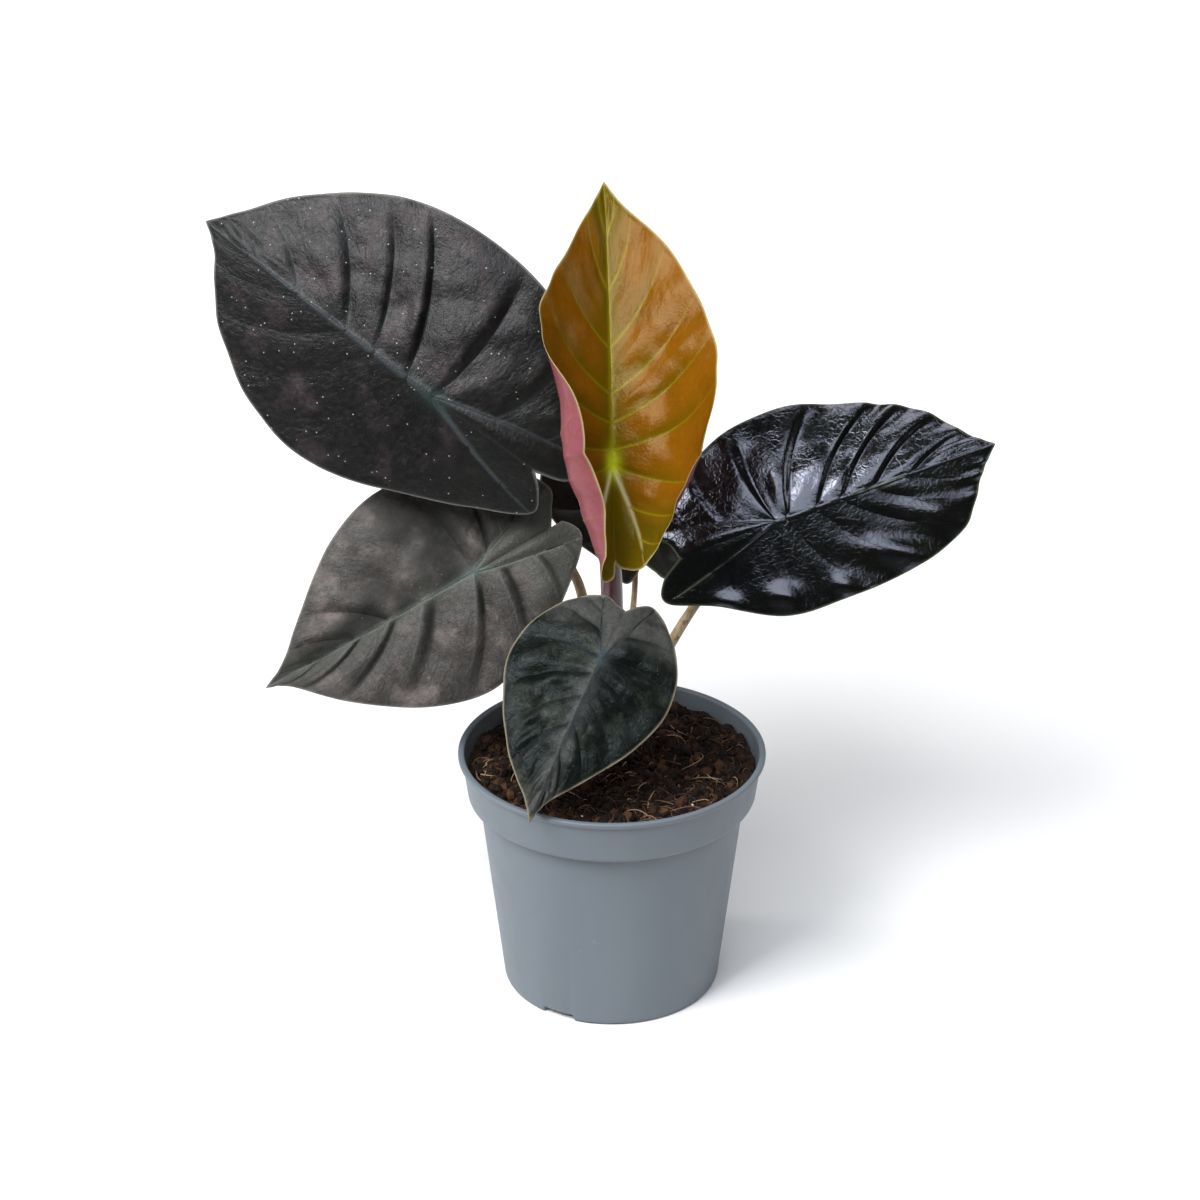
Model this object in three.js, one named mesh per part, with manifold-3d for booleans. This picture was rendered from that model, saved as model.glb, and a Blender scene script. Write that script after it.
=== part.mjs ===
// A potted jewel alocasia: a round nursery pot filled with potting mix, six leaf blades and their stems.
// Millimetres, +Z up. The origin is on the floor under the middle of the pot, and -Y is the front.
import * as THREE from "three";
import { mergeVertices } from "three/addons/utils/BufferGeometryUtils.js";
import Module from "manifold-3d";

const wasm = await Module();
wasm.setup();

// Driving sizes
const RIM_RADIUS = 60;
const POT_HEIGHT = 100;
const SOIL_HEIGHT = 93.5;
const WALL = 1.2;
const GAP = 0.3;
const BLADE = 0.9;
const MIDRIB = 2.2;

// Pot shape: a tapered body, a step out to a collar, and a rounded lip round the rim. It stands on a foot
// ring and on a flat hub in the middle, with its floor raised between them.
const BODY_BASE_RADIUS = 42.9;
const BODY_TAPER = 0.1127;
const STEP_BOTTOM = 80;
const COLLAR_BOTTOM = 82.7;
const COLLAR_RADIUS = 56.4;
const COLLAR_TOP_RADIUS = RIM_RADIUS - 1.6;
const LIP_WIDTH = 2.5;
const LIP_ROUND = 0.7;
const LIP_BOTTOM = POT_HEIGHT - 2.4;
const FLOOR_UNDERSIDE = 3.2;
const FLOOR_TOP = 4.6;
const HUB_RADIUS = 14;
const HUB_TOP = 1.6;
const FOOT_INNER = 40.2;
const FOOT_OUTER = 41.8;
const DRAIN_RADIUS = 4;
const DRAIN_CIRCLE = 28;
const POT_SEGMENTS = 48;

// Leaf mesh: rows per space between two side veins, and columns from the midrib to the margin
const ROWS_PER_SPACE = 3;
const COLUMNS = [0, 0.1, 0.3, 0.55, 0.8, 1];
const INNER_COLUMNS = [0, 0.5, 1];

// Each side vein leaves the spine at its first number and meets the left and right margins at the others.
// The spine runs from 1 at the tip through 0 at the junction, where a vein always leaves it, to -1 at the end
// of the basal lobe. The margin is counted in outline points from the tip, and the lobe ends at point 7.
// These are the small leaves' veins, and the large leaves have their own.
const SMALL_VEINS = [
  [0.78, 0.6, 0.6],
  [0.58, 1.2, 1.2],
  [0.4, 1.85, 1.85],
  [0.24, 2.55, 2.55],
  [0.1, 3.35, 3.35],
  [0, 4.4, 4.4],
  [-0.38, 5.45, 5.45],
  [-0.7, 6.25, 6.25],
];
const LOBE_POINT = 7;
const NOTCH_POINT = 9;
const NOTCH_ON_SPINE = 2 / 3;
const VEIN_BOW = 0.14;
const SWELLING_LEAN = 25;

// The leaves. junction is where the stem meets the blade. heading and rise point along the midrib to the
// tip, and roll turns the blade about it. bow bends the midrib down in front of the junction and behind it,
// fold tilts the halves up from the midrib and cup curves them, each left then right; bends are in degrees
// for every 100 mm. quilt is how far the left and right halves swell between their side veins. valley says
// where each half's creases lie in the spaces between the veins, and drop how much of a space falls to its
// crease, while the rest of it rises. wave is how far the margin rises and falls. swellings are single long
// humps, as [left 0 or right 1, along the midrib, out from it, length, width, height]. The outlines are
// flat, as [along the midrib, out from it], from the tip to the notch. The stem's route runs from inside
// the soil to the junction, with its radius at points spread along it.
const LEAVES = [
  {
    name: "upper_left",
    colour: 0x2b2c2c,
    junction: [-66.8, 12, 242],
    heading: 163.5,
    rise: 33.7,
    roll: -66.4,
    bow: [14, 32],
    fold: [-14, -6],
    cup: [-7, 9],
    quilt: [0.5, 3.2],
    valley: [0, 0],
    drop: [0.5, 0.2],
    wave: 0.5,
    veins: [
      [0.8, 0.6, 0.7], [0.58, 1.2, 1.45], [0.37, 1.85, 2.3], [0.25, 2.55, 2.85],
      [0.11, 3.35, 3.3], [0, 4.4, 4.5], [-0.38, 5.45, 5.5], [-0.7, 6.25, 6.25],
    ],
    left: [
      [110, 0], [101, 7.5], [84.5, 29.5], [55, 47.5], [22.5, 51],
      [-11, 39], [-40, 25], [-57, 14.5], [-54, 6], [-47.5, 0],
    ],
    right: [
      [110, 0], [102, 10], [84, 31.5], [53.5, 52.5], [18.5, 59.5],
      [-17.5, 54.5], [-46, 34.5], [-62.5, 15], [-60, 4.5], [-47.5, 0],
    ],
    stemColour: 0x9c8a6d,
    stem: [
      [-9, 13.5, 60], [-9, 13.5, 92], [-9.2, 17, 125], [-12.5, 26, 157],
      [-27, 38, 176], [-45, 41, 205], [-61, 25, 231],
    ],
    radii: [2.8, 2.8, 2.2, 1.8, 1.6, 1.6, 1.6],
  },
  {
    name: "centre",
    colour: 0x8f6a1c,
    junction: [-0.2, -10, 223.8],
    heading: 91.1,
    rise: 60.3,
    roll: 9.9,
    bow: [10, -30],
    fold: [26, 26],
    cup: [63, 32],
    curl: { left: 408, right: 263, starts: 58, over: 64, inset: 21, narrows: 40 },
    quilt: [0.9, 0.9],
    valley: [0, 0],
    drop: [0.5, 0.5],
    wave: 0.5,
    veins: [
      [0.8, 0.6, 0.6], [0.6, 1.25, 1.2], [0.4, 2.2, 1.9], [0.24, 2.75, 2.6], [0.14, 3.3, 3.1],
      [0.05, 4.1, 3.7], [0, 4.85, 4.85], [-0.4, 5.5, 5.5], [-0.72, 6.25, 6.25],
    ],
    left: [
      [108.5, 0], [98.5, 6], [77, 20.5], [50, 39.5], [17.5, 47.5],
      [-13.5, 39.5], [-34, 24], [-45, 10.5], [-43, 1.5], [-37, 0],
    ],
    right: [
      [108.5, 0], [98, 7], [78, 24.5], [48, 39.5], [16, 48],
      [-13, 44], [-30.5, 27], [-40.5, 13], [-39.5, 3.5], [-37, 0],
    ],
    stemColour: 0x4c3238,
    stem: [[0.5, 12, 60], [0.5, 12, 92], [0.6, 12, 130], [0, 10, 163], [-0.5, 5, 195], [-0.3, -2, 213]],
    radii: [4.2, 4.2, 4.2, 4, 3, 2.3, 2],
    sheath: { route: [[0.4, 12, 132], [-0.8, 10.5, 160], [-4.6, 10, 186]], radii: [3.6, 3.6, 0.8] },
  },
  {
    name: "right",
    colour: 0x191b1c,
    junction: [62.1, 15, 189.8],
    heading: 13.9,
    rise: 15.2,
    roll: 52.4,
    bow: [2, 41],
    fold: [-6, -15],
    cup: [2, 14],
    quilt: [2.4, 0.5],
    valley: [0.85, 0],
    drop: [0.8, 0.5],
    wave: 0.9,
    swellings: [
      [1, 62, 18, 24, 9, 2.2], [1, 46, 28, 34, 9, 2.2], [1, -28.6, 22, 13, 7, 1.3],
      [1, -6.6, 28, 16, 8, 1.6], [1, 17, 32, 10, 7, 1.3],
    ],
    veins: [
      [0.78, 0.6, 0.6], [0.6, 1.2, 1], [0.43, 1.75, 1.4], [0.29, 2.3, 1.9], [0.18, 2.7, 2.8],
      [0.05, 3.6, 3.65], [0, 4.75, 4.6], [-0.45, 5.6, 5.55], [-0.75, 6.3, 6.3],
    ],
    left: [
      [91, 0], [83, 7], [67.5, 24], [42, 35.5], [15, 42.5],
      [-12, 38], [-33.5, 25], [-44.5, 12.5], [-40.5, 6], [-39, 0],
    ],
    right: [
      [91, 0], [83, 8.5], [69, 26.5], [45, 34.5], [17.5, 36.5],
      [-8.5, 35], [-33, 22], [-50.5, 14], [-48.5, 6], [-39, 0],
    ],
    stemColour: 0x9c8a6d,
    stem: [
      [7.5, 17.5, 60], [7.5, 17.5, 92], [13, 18, 116], [23.5, 19, 137],
      [32.3, 20, 152.3], [45, 22, 171], [56.5, 22, 185],
    ],
    radii: [2.8, 2.8, 2.2, 2, 1.8, 1.7, 1.7],
  },
  {
    name: "lower_left",
    colour: 0x5b5651,
    junction: [-53.2, 11, 170.2],
    heading: 192.9,
    rise: -27.4,
    roll: -51.9,
    bow: [-12, -4],
    fold: [-12, -3],
    cup: [-9, 13],
    quilt: [3.4, 4.2],
    valley: [0.2, 0],
    drop: [0.25, 0.6],
    wave: 0.6,
    veins: [
      [0.78, 0.6, 0.6], [0.58, 1.15, 1.2], [0.41, 1.75, 1.85], [0.25, 2.55, 2.6],
      [0, 3.5, 4.2], [-0.2, 4.6, 5], [-0.55, 5.6, 5.8], [-0.8, 6.35, 6.4],
    ],
    left: [
      [90, 0], [81.5, 4], [65, 19.5], [41, 35.5], [16.5, 42.5],
      [-9, 35.5], [-30.5, 21.5], [-43, 9], [-40, 0.5], [-34.5, 0],
    ],
    right: [
      [90, 0], [79.5, 6], [63.5, 21], [41.5, 38.5], [16, 46.5],
      [-11, 40], [-32, 27.5], [-41.5, 14.5], [-38, 6], [-34.5, 0],
    ],
    stemColour: 0x9c8a6d,
    stem: [[-8, 5, 60], [-8, 5, 92], [-13, 8, 120], [-27, 16, 146], [-43, 20, 163]],
    radii: [2.8, 2.8, 2.2, 1.9, 1.7, 1.6],
  },
  {
    name: "front",
    colour: 0x4b504d,
    junction: [-3.9, -25, 151.9],
    heading: 238.5,
    rise: -38.2,
    roll: -18.6,
    bow: [30, 68],
    fold: [-14, -9],
    cup: [-13, 0],
    quilt: [1.4, 1.4],
    valley: [0, 0],
    drop: [0.35, 0.35],
    wave: 0.4,
    veins: SMALL_VEINS,
    left: [
      [67.5, 0], [58, 3.5], [45, 13.5], [27.5, 25], [8.5, 31],
      [-9.5, 28], [-23, 19], [-30, 9], [-27, 3.5], [-22, 0],
    ],
    right: [
      [67.5, 0], [60, 5.5], [47.5, 17.5], [29, 28.5], [9.5, 34.5],
      [-9, 30], [-21.5, 20.5], [-26.5, 10.5], [-24, 4.5], [-22, 0],
    ],
    stemColour: 0x9c8a6d,
    stem: [[-0.5, 2, 60], [-0.5, 2, 92], [-1, 0, 120], [-2.5, -12, 141]],
    radii: [2.6, 2.6, 2, 1.7, 1.5],
  },
  {
    name: "back",
    colour: 0x34302c,
    junction: [8.9, 58, 180.3],
    heading: 106.6,
    rise: 56.2,
    roll: 0,
    bow: [18, 64],
    fold: [-10, -10],
    cup: [-12, -11],
    quilt: [1.8, 1.8],
    valley: [0, 0],
    drop: [0.5, 0.5],
    wave: 0.4,
    veins: SMALL_VEINS,
    left: [
      [72.5, 0], [64.5, 4.5], [50, 15.5], [30, 28.5], [10, 36],
      [-7.5, 30.5], [-21.5, 17], [-32.5, 8], [-30.5, 3], [-24.5, 0],
    ],
    right: [
      [72.5, 0], [65, 4.5], [50.5, 14.5], [30.5, 26], [10, 32],
      [-10, 29.5], [-25.5, 20.5], [-33, 11], [-29, 5], [-24.5, 0],
    ],
    stemColour: 0x9c8a6d,
    stem: [[-1, 21.5, 60], [-1, 21.5, 92], [3, 31, 116], [8.6, 46, 139], [9.6, 62.5, 161]],
    radii: [2.6, 2.4, 1.6, 1.2, 1.2, 1.2],
  },
];

const radians = (degrees) => (degrees * Math.PI) / 180;
const perMillimetre = (degreesPer100) => radians(degreesPer100) / 100;
const clamp = (value, low, high) => Math.min(high, Math.max(low, value));
const mix = (a, b, t) => a + (b - a) * t;
const smooth = (t) => clamp(t, 0, 1) ** 2 * (3 - 2 * clamp(t, 0, 1));

// A repeatable stream of numbers from 0 to 1.
function randomStream(seed) {
  let state = seed;
  return () => {
    state = (state * 1664525 + 1013904223) % 4294967296;
    return state / 4294967296;
  };
}

// A closed manifold solid from a three.js geometry, with its doubled vertices merged.
function solidOf(geometry) {
  const bare = geometry.clone();
  bare.deleteAttribute("normal");
  bare.deleteAttribute("uv");
  const merged = mergeVertices(bare, 1e-4);
  const corners = merged.index.array;
  const triangles = [];
  for (let i = 0; i < corners.length; i += 3) {
    const [a, b, c] = [corners[i], corners[i + 1], corners[i + 2]];
    if (a !== b && b !== c && c !== a) triangles.push(a, b, c);
  }
  return new wasm.Manifold(
    new wasm.Mesh({
      numProp: 3,
      vertProperties: new Float32Array(merged.attributes.position.array),
      triVerts: new Uint32Array(triangles),
    }),
  );
}

// A named mesh from a manifold solid.
function meshOf(name, solid, colour, roughness) {
  const { vertProperties, triVerts } = solid.getMesh();
  const geometry = new THREE.BufferGeometry();
  geometry.setAttribute("position", new THREE.Float32BufferAttribute(vertProperties, 3));
  geometry.setIndex(Array.from(triVerts));
  geometry.computeVertexNormals();
  const material = new THREE.MeshStandardMaterial({ color: colour, roughness, metalness: 0 });
  const mesh = new THREE.Mesh(geometry, material);
  mesh.name = name;
  return mesh;
}

// A solid turned about the Z axis from a profile of [radius, height] that starts and ends on the axis.
function turned(profile, segments) {
  const points = profile.map(([r, z]) => new THREE.Vector2(r, z));
  return solidOf(new THREE.LatheGeometry(points, segments).rotateX(Math.PI / 2));
}

// A point of the smooth curve through the outline's points, at t counted in points.
function outlineAt(points, t) {
  const last = points.length - 1;
  const i = clamp(Math.floor(t), 0, last - 1);
  const f = t - i;
  const beyond = (a, b) => [2 * a[0] - b[0], 2 * a[1] - b[1]];
  const p1 = points[i];
  const p2 = points[i + 1];
  const p0 = i > 0 ? points[i - 1] : beyond(p1, p2);
  const p3 = i + 2 <= last ? points[i + 2] : beyond(p2, p1);
  const along = (k) =>
    0.5 *
    (2 * p1[k] +
      (p2[k] - p0[k]) * f +
      (2 * p0[k] - 5 * p1[k] + 4 * p2[k] - p3[k]) * f * f +
      (3 * p1[k] - p0[k] - 3 * p2[k] + p3[k]) * f * f * f);
  return [along(0), along(1)];
}

// A point of the curve that bends from a to b by way of a control point.
function bezierAt(a, control, b, t) {
  const along = (k) => a[k] * (1 - t) ** 2 + 2 * control[k] * t * (1 - t) + b[k] * t * t;
  return [along(0), along(1)];
}

// The spine of one half: the midrib from the tip to the junction, then the rib of the basal lobe.
function spineAt(outline, p) {
  if (p >= 0) return [outline[0][0] * p, 0];
  const end = outline[LOBE_POINT];
  return bezierAt([0, 0], [end[0] * 0.5, end[1] * 0.7], end, -p);
}

// Where a side vein lies, at a share r of its length from the spine to the margin.
function outerPoint(outline, p, t, r) {
  const start = spineAt(outline, p);
  const end = outlineAt(outline, t);
  const run = [end[0] - start[0], end[1] - start[1]];
  const control = [
    start[0] + run[0] / 2 - VEIN_BOW * run[1],
    Math.max(0, start[1] + run[1] / 2 + VEIN_BOW * run[0]),
  ];
  return bezierAt(start, control, end, r);
}

// The strip between a lobe's rib and the leaf's centre line, which past the notch is the lobe's inner edge.
function innerPoint(outline, p, r) {
  const start = spineAt(outline, p);
  const q = -p;
  const notch = outline[NOTCH_POINT];
  const end =
    q <= NOTCH_ON_SPINE
      ? [(notch[0] * q) / NOTCH_ON_SPINE, 0]
      : outlineAt(
          outline,
          mix(NOTCH_POINT, LOBE_POINT, (q - NOTCH_ON_SPINE) / (1 - NOTCH_ON_SPINE)),
        );
  return [mix(start[0], end[0], r), mix(start[1], end[1], r)];
}

// How far an arc that starts at an angle and turns evenly reaches out and up over a length.
function arc(angle, turn, length) {
  const k = Math.abs(turn) < 1e-6 ? 1e-6 : turn;
  return [
    (Math.sin(angle + k * length) - Math.sin(angle)) / k,
    (Math.cos(angle) - Math.cos(angle + k * length)) / k,
  ];
}

// Bends a point of the flat leaf. side is 0 for the left half and 1 for the right, and y counts outwards.
function bent(leaf, side, x, y) {
  const turn = perMillimetre(leaf.bow[x > 0 ? 0 : 1]);
  const [reach, drop] = arc(0, turn, x);
  const fold = radians(leaf.fold[side]);
  const cup = perMillimetre(leaf.cup[side]);
  let out;
  if (leaf.curl) {
    const { left, right, starts, over, inset, narrows } = leaf.curl;
    const edge = inset * clamp(1 + Math.min(x, 0) / narrows, 0.02, 1);
    const curl = cup + perMillimetre(side ? right : left) * smooth((starts - x) / over);
    const flat = Math.min(y, edge);
    const near = arc(fold, cup, flat);
    const far = arc(fold + cup * flat, curl, Math.max(y - edge, 0));
    out = [near[0] + far[0], near[1] + far[1]];
  } else {
    out = arc(fold, cup, y);
  }
  const slope = turn * x;
  return new THREE.Vector3(
    reach + out[1] * Math.sin(slope),
    side ? -out[0] : out[0],
    out[1] * Math.cos(slope) - drop,
  );
}

// The bent leaf's upward normal at a flat point.
function bentNormal(leaf, side, x, y) {
  const step = 0.05;
  const here = bent(leaf, side, x, y);
  const ahead = bent(leaf, side, x + step, y).sub(here);
  const outward = bent(leaf, side, x, y + step).sub(here);
  return side ? outward.cross(ahead).normalize() : ahead.cross(outward).normalize();
}

// The leaf's own frame: X along the midrib, Y to its left, Z out of its upper face, from the junction.
function leafFrame(leaf) {
  const heading = radians(leaf.heading);
  const rise = radians(leaf.rise);
  const along = new THREE.Vector3(
    Math.cos(heading) * Math.cos(rise),
    Math.sin(heading) * Math.cos(rise),
    Math.sin(rise),
  );
  const up = new THREE.Vector3(
    -Math.cos(heading) * Math.sin(rise),
    -Math.sin(heading) * Math.sin(rise),
    Math.cos(rise),
  ).applyAxisAngle(along, radians(leaf.roll));
  const left = new THREE.Vector3().crossVectors(up, along);
  return new THREE.Matrix4().makeBasis(along, left, up).setPosition(...leaf.junction);
}

// How high the blade stands in the space between two side veins, at a share f of the way across it.
function pillow(f, valley, drop) {
  const g = (f - valley + 1) % 1;
  const quarter = Math.PI / 2;
  return g < 1 - drop ? Math.sin((quarter * g) / (1 - drop)) : Math.cos((quarter * (g - 1 + drop)) / drop);
}

// How high the single swellings of one half lift a place. They lean outwards on the way to the tip.
function swellingAt(leaf, side, [x, y]) {
  const [cos, sin] = [Math.cos(radians(SWELLING_LEAN)), Math.sin(radians(SWELLING_LEAN))];
  let lift = 0;
  for (const [half, ahead, out, length, width, height] of leaf.swellings ?? []) {
    if (half !== side) continue;
    const lengthwise = (2 * ((x - ahead) * cos + (y - out) * sin)) / length;
    const crosswise = (2 * ((y - out) * cos - (x - ahead) * sin)) / width;
    lift += height * Math.exp(-lengthwise * lengthwise - crosswise * crosswise);
  }
  return lift;
}

// The leaf's middle surface: its vertices, its triangles facing up, and the blade's thickness at each one.
function leafSheet(leaf) {
  const frame = leafFrame(leaf);
  const found = new Map();
  const points = [];
  const thickness = [];
  const triangles = [];
  const veins = [[1, 0, 0], ...leaf.veins, [-1, LOBE_POINT, LOBE_POINT]];
  const spaces = veins.length - 1;

  const vertex = (side, flat, swell, thick) => {
    const point = bent(leaf, side, flat[0], flat[1]);
    if (swell) point.addScaledVector(bentNormal(leaf, side, flat[0], flat[1]), swell);
    point.applyMatrix4(frame);
    const key = point.toArray().map((value) => Math.round(value * 500)).join();
    if (!found.has(key)) {
      found.set(key, points.length);
      points.push(point);
      thickness.push(thick);
    }
    return found.get(key);
  };
  const triangle = (a, b, c) => {
    if (a !== b && b !== c && c !== a) triangles.push([a, b, c]);
  };
  const weave = (rows, flipped) => {
    for (let i = 0; i + 1 < rows.length; i++)
      for (let j = 0; j + 1 < rows[i].length; j++) {
        const [a, b, c, d] = [rows[i][j], rows[i][j + 1], rows[i + 1][j], rows[i + 1][j + 1]];
        if (flipped) {
          triangle(a, c, b);
          triangle(b, c, d);
        } else {
          triangle(a, b, c);
          triangle(b, d, c);
        }
      }
  };

  [leaf.left, leaf.right].forEach((outline, side) => {
    const outer = [];
    const inner = [];
    for (let row = 0; row <= spaces * ROWS_PER_SPACE; row++) {
      const space = Math.min(Math.floor(row / ROWS_PER_SPACE), spaces - 1);
      const f = row / ROWS_PER_SPACE - space;
      const p = mix(veins[space][0], veins[space + 1][0], f);
      const t = mix(veins[space][1 + side], veins[space + 1][1 + side], f);
      const middle = Math.sin((Math.PI * row) / (spaces * ROWS_PER_SPACE));
      const height = pillow(f, leaf.valley[side], leaf.drop[side]);
      const swell = leaf.quilt[side] * Math.min(1, 1.3 * middle ** 1.5) * height;
      const ripple = leaf.wave * middle * Math.sin(2 * Math.PI * f + leaf.heading);
      const rib = p >= 0 ? mix(MIDRIB, BLADE, p) : mix(MIDRIB * 0.8, BLADE, -p);
      // The swelling fades towards the tip and the lobe's end. It starts close to the midrib and ends at the
      // margin, where only the ripple is left.
      outer.push(
        COLUMNS.map((r) => {
          const flat = outerPoint(outline, p, t, r);
          const lift = swell * (1 - (1 - r) ** 6) * (1 - r ** 4) + ripple * r ** 3;
          return vertex(side, flat, lift + swellingAt(leaf, side, flat), r === 0 ? rib : BLADE);
        }),
      );
      if (p <= 0)
        inner.push(
          INNER_COLUMNS.map((r) =>
            vertex(
              side,
              innerPoint(outline, p, r),
              leaf.quilt[side] * 0.4 * Math.sin(Math.PI * r) * Math.sin(-Math.PI * p),
              r === 0 ? rib : BLADE,
            ),
          ),
        );
    }
    weave(outer, side === 1);
    weave(inner, side === 0);
  });
  return { points, triangles, thickness };
}

// A solid blade from its middle surface. Both faces have the same triangles. below and above, where given,
// replace half the thickness on their side of the surface.
function thickened({ points, triangles, thickness }, below, above) {
  const normals = points.map(() => new THREE.Vector3());
  const edges = new Map();
  for (const [a, b, c] of triangles) {
    const face = new THREE.Vector3()
      .subVectors(points[b], points[a])
      .cross(new THREE.Vector3().subVectors(points[c], points[a]));
    for (const corner of [a, b, c]) normals[corner].add(face);
    for (const [from, to] of [[a, b], [b, c], [c, a]]) edges.set(from + "," + to, [from, to]);
  }
  normals.forEach((normal) => normal.normalize());
  const upper = points.map((p, i) => p.clone().addScaledVector(normals[i], above ?? thickness[i] / 2));
  const lower = points.map((p, i) => p.clone().addScaledVector(normals[i], -(below ?? thickness[i] / 2)));
  const count = points.length;
  const index = [];
  for (const [a, b, c] of triangles) index.push(a, b, c, count + a, count + c, count + b);
  for (const [from, to] of edges.values())
    if (!edges.has(to + "," + from))
      index.push(from, count + from, count + to, from, count + to, to);
  const geometry = new THREE.BufferGeometry().setFromPoints([...upper, ...lower]);
  geometry.setIndex(index);
  return solidOf(geometry);
}

// A tapered round bar along a smooth route, closed at both ends.
function bar(route, radii, sides, steps, extra = 0) {
  const curve = new THREE.CatmullRomCurve3(
    route.map((point) => new THREE.Vector3(...point)),
    false,
    "catmullrom",
  );
  const { normals, binormals } = curve.computeFrenetFrames(steps, false);
  const points = [];
  const index = [];
  for (let i = 0; i <= steps; i++) {
    const centre = curve.getPointAt(i / steps);
    const place = (i / steps) * (radii.length - 1);
    const low = Math.min(Math.floor(place), radii.length - 2);
    const radius = mix(radii[low], radii[low + 1], place - low) + extra;
    for (let k = 0; k < sides; k++) {
      const angle = (2 * Math.PI * k) / sides;
      points.push(
        centre
          .clone()
          .addScaledVector(normals[i], radius * Math.cos(angle))
          .addScaledVector(binormals[i], radius * Math.sin(angle)),
      );
    }
  }
  for (let i = 0; i < steps; i++)
    for (let k = 0; k < sides; k++) {
      const a = i * sides + k;
      const b = i * sides + ((k + 1) % sides);
      index.push(a, b, a + sides, b, b + sides, a + sides);
    }
  for (let k = 1; k + 1 < sides; k++) {
    const end = steps * sides;
    index.push(0, k + 1, k, end, end + k, end + k + 1);
  }
  const geometry = new THREE.BufferGeometry().setFromPoints(points);
  geometry.setIndex(index);
  return solidOf(geometry);
}

// A leaf's stem, grown by extra all round, up to the junction in the middle of the blade.
function stemBar(leaf, extra = 0) {
  const sides = leaf.sheath ? 10 : 8;
  let solid = bar([...leaf.stem, leaf.junction], leaf.radii, sides, 14, extra);
  if (leaf.sheath) solid = solid.add(bar(leaf.sheath.route, leaf.sheath.radii, sides, 6, extra));
  return solid;
}

// The stem, ending a hair's breadth under the blade.
function leafStem(leaf, sheet) {
  const room = 6;
  return stemBar(leaf).subtract(thickened(sheet, MIDRIB / 2 + GAP, room));
}

// The radius of the pot's outside on its tapered body.
const bodyRadius = (z) => BODY_BASE_RADIUS + BODY_TAPER * z;

// A slab that cuts the foot ring from one azimuth to another, up to a height above the floor.
function footCut(from, to, height) {
  const [inside, outside] = [FOOT_INNER - 2, bodyRadius(height) + 2];
  const [a, b] = [radians(from), radians(to)];
  const shape = new THREE.Shape();
  shape.moveTo(inside * Math.cos(a), inside * Math.sin(a));
  shape.lineTo(outside * Math.cos(a), outside * Math.sin(a));
  shape.lineTo(outside * Math.cos(b), outside * Math.sin(b));
  shape.lineTo(inside * Math.cos(b), inside * Math.sin(b));
  const slab = new THREE.ExtrudeGeometry(shape, { depth: height + 1, bevelEnabled: false });
  return solidOf(slab.translate(0, 0, -1));
}

function pot() {
  const slope = 0.7;
  let solid = turned(
    [
      [0, 0],
      [HUB_RADIUS, 0],
      [HUB_RADIUS + slope, FLOOR_UNDERSIDE],
      [FOOT_INNER - slope, FLOOR_UNDERSIDE],
      [FOOT_INNER, 0],
      [FOOT_OUTER, 0],
      [bodyRadius(1.4), 1.4],
      [bodyRadius(STEP_BOTTOM), STEP_BOTTOM],
      [bodyRadius(STEP_BOTTOM) + slope, STEP_BOTTOM + slope],
      [COLLAR_RADIUS - slope, COLLAR_BOTTOM - 1.1],
      [COLLAR_RADIUS, COLLAR_BOTTOM],
      [COLLAR_TOP_RADIUS, LIP_BOTTOM],
      [RIM_RADIUS, LIP_BOTTOM + LIP_ROUND],
      [RIM_RADIUS, POT_HEIGHT - LIP_ROUND],
      [RIM_RADIUS - LIP_ROUND, POT_HEIGHT],
      [RIM_RADIUS - LIP_WIDTH + LIP_ROUND, POT_HEIGHT],
      [RIM_RADIUS - LIP_WIDTH, POT_HEIGHT - LIP_ROUND],
      [COLLAR_TOP_RADIUS - WALL, LIP_BOTTOM],
      [COLLAR_RADIUS - WALL, COLLAR_BOTTOM + 1],
      [bodyRadius(STEP_BOTTOM) - WALL, STEP_BOTTOM + WALL],
      [bodyRadius(FLOOR_TOP) - WALL, FLOOR_TOP],
      [HUB_RADIUS + slope, FLOOR_TOP],
      [HUB_RADIUS - slope, HUB_TOP],
      [0, HUB_TOP],
    ],
    POT_SEGMENTS,
  );
  // Three deep notches and three shallow arches lift the foot off the floor, and six holes drain the pot.
  for (const turn of [0, 120, 240]) {
    solid = solid.subtract(footCut(turn + 231, turn + 250, 3));
    solid = solid.subtract(footCut(turn + 260, turn + 287, 0.8));
  }
  for (let k = 0; k < 6; k++) {
    const azimuth = radians(60 * k);
    const hole = new THREE.CylinderGeometry(DRAIN_RADIUS, DRAIN_RADIUS, 2 * FLOOR_TOP, 12)
      .rotateX(Math.PI / 2)
      .translate(DRAIN_CIRCLE * Math.cos(azimuth), DRAIN_CIRCLE * Math.sin(azimuth), FLOOR_TOP);
    solid = solid.subtract(solidOf(hole));
  }
  return solid;
}

// The lumpy top of the potting mix: height over its level at a place.
function soilLump(x, y) {
  return (
    0.9 * Math.sin(0.19 * x + 1.3) * Math.cos(0.17 * y - 0.4) +
    0.6 * Math.sin(0.36 * x - 0.31 * y) +
    0.4 * Math.cos(0.4 * x + 0.37 * y + 2)
  );
}

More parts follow.
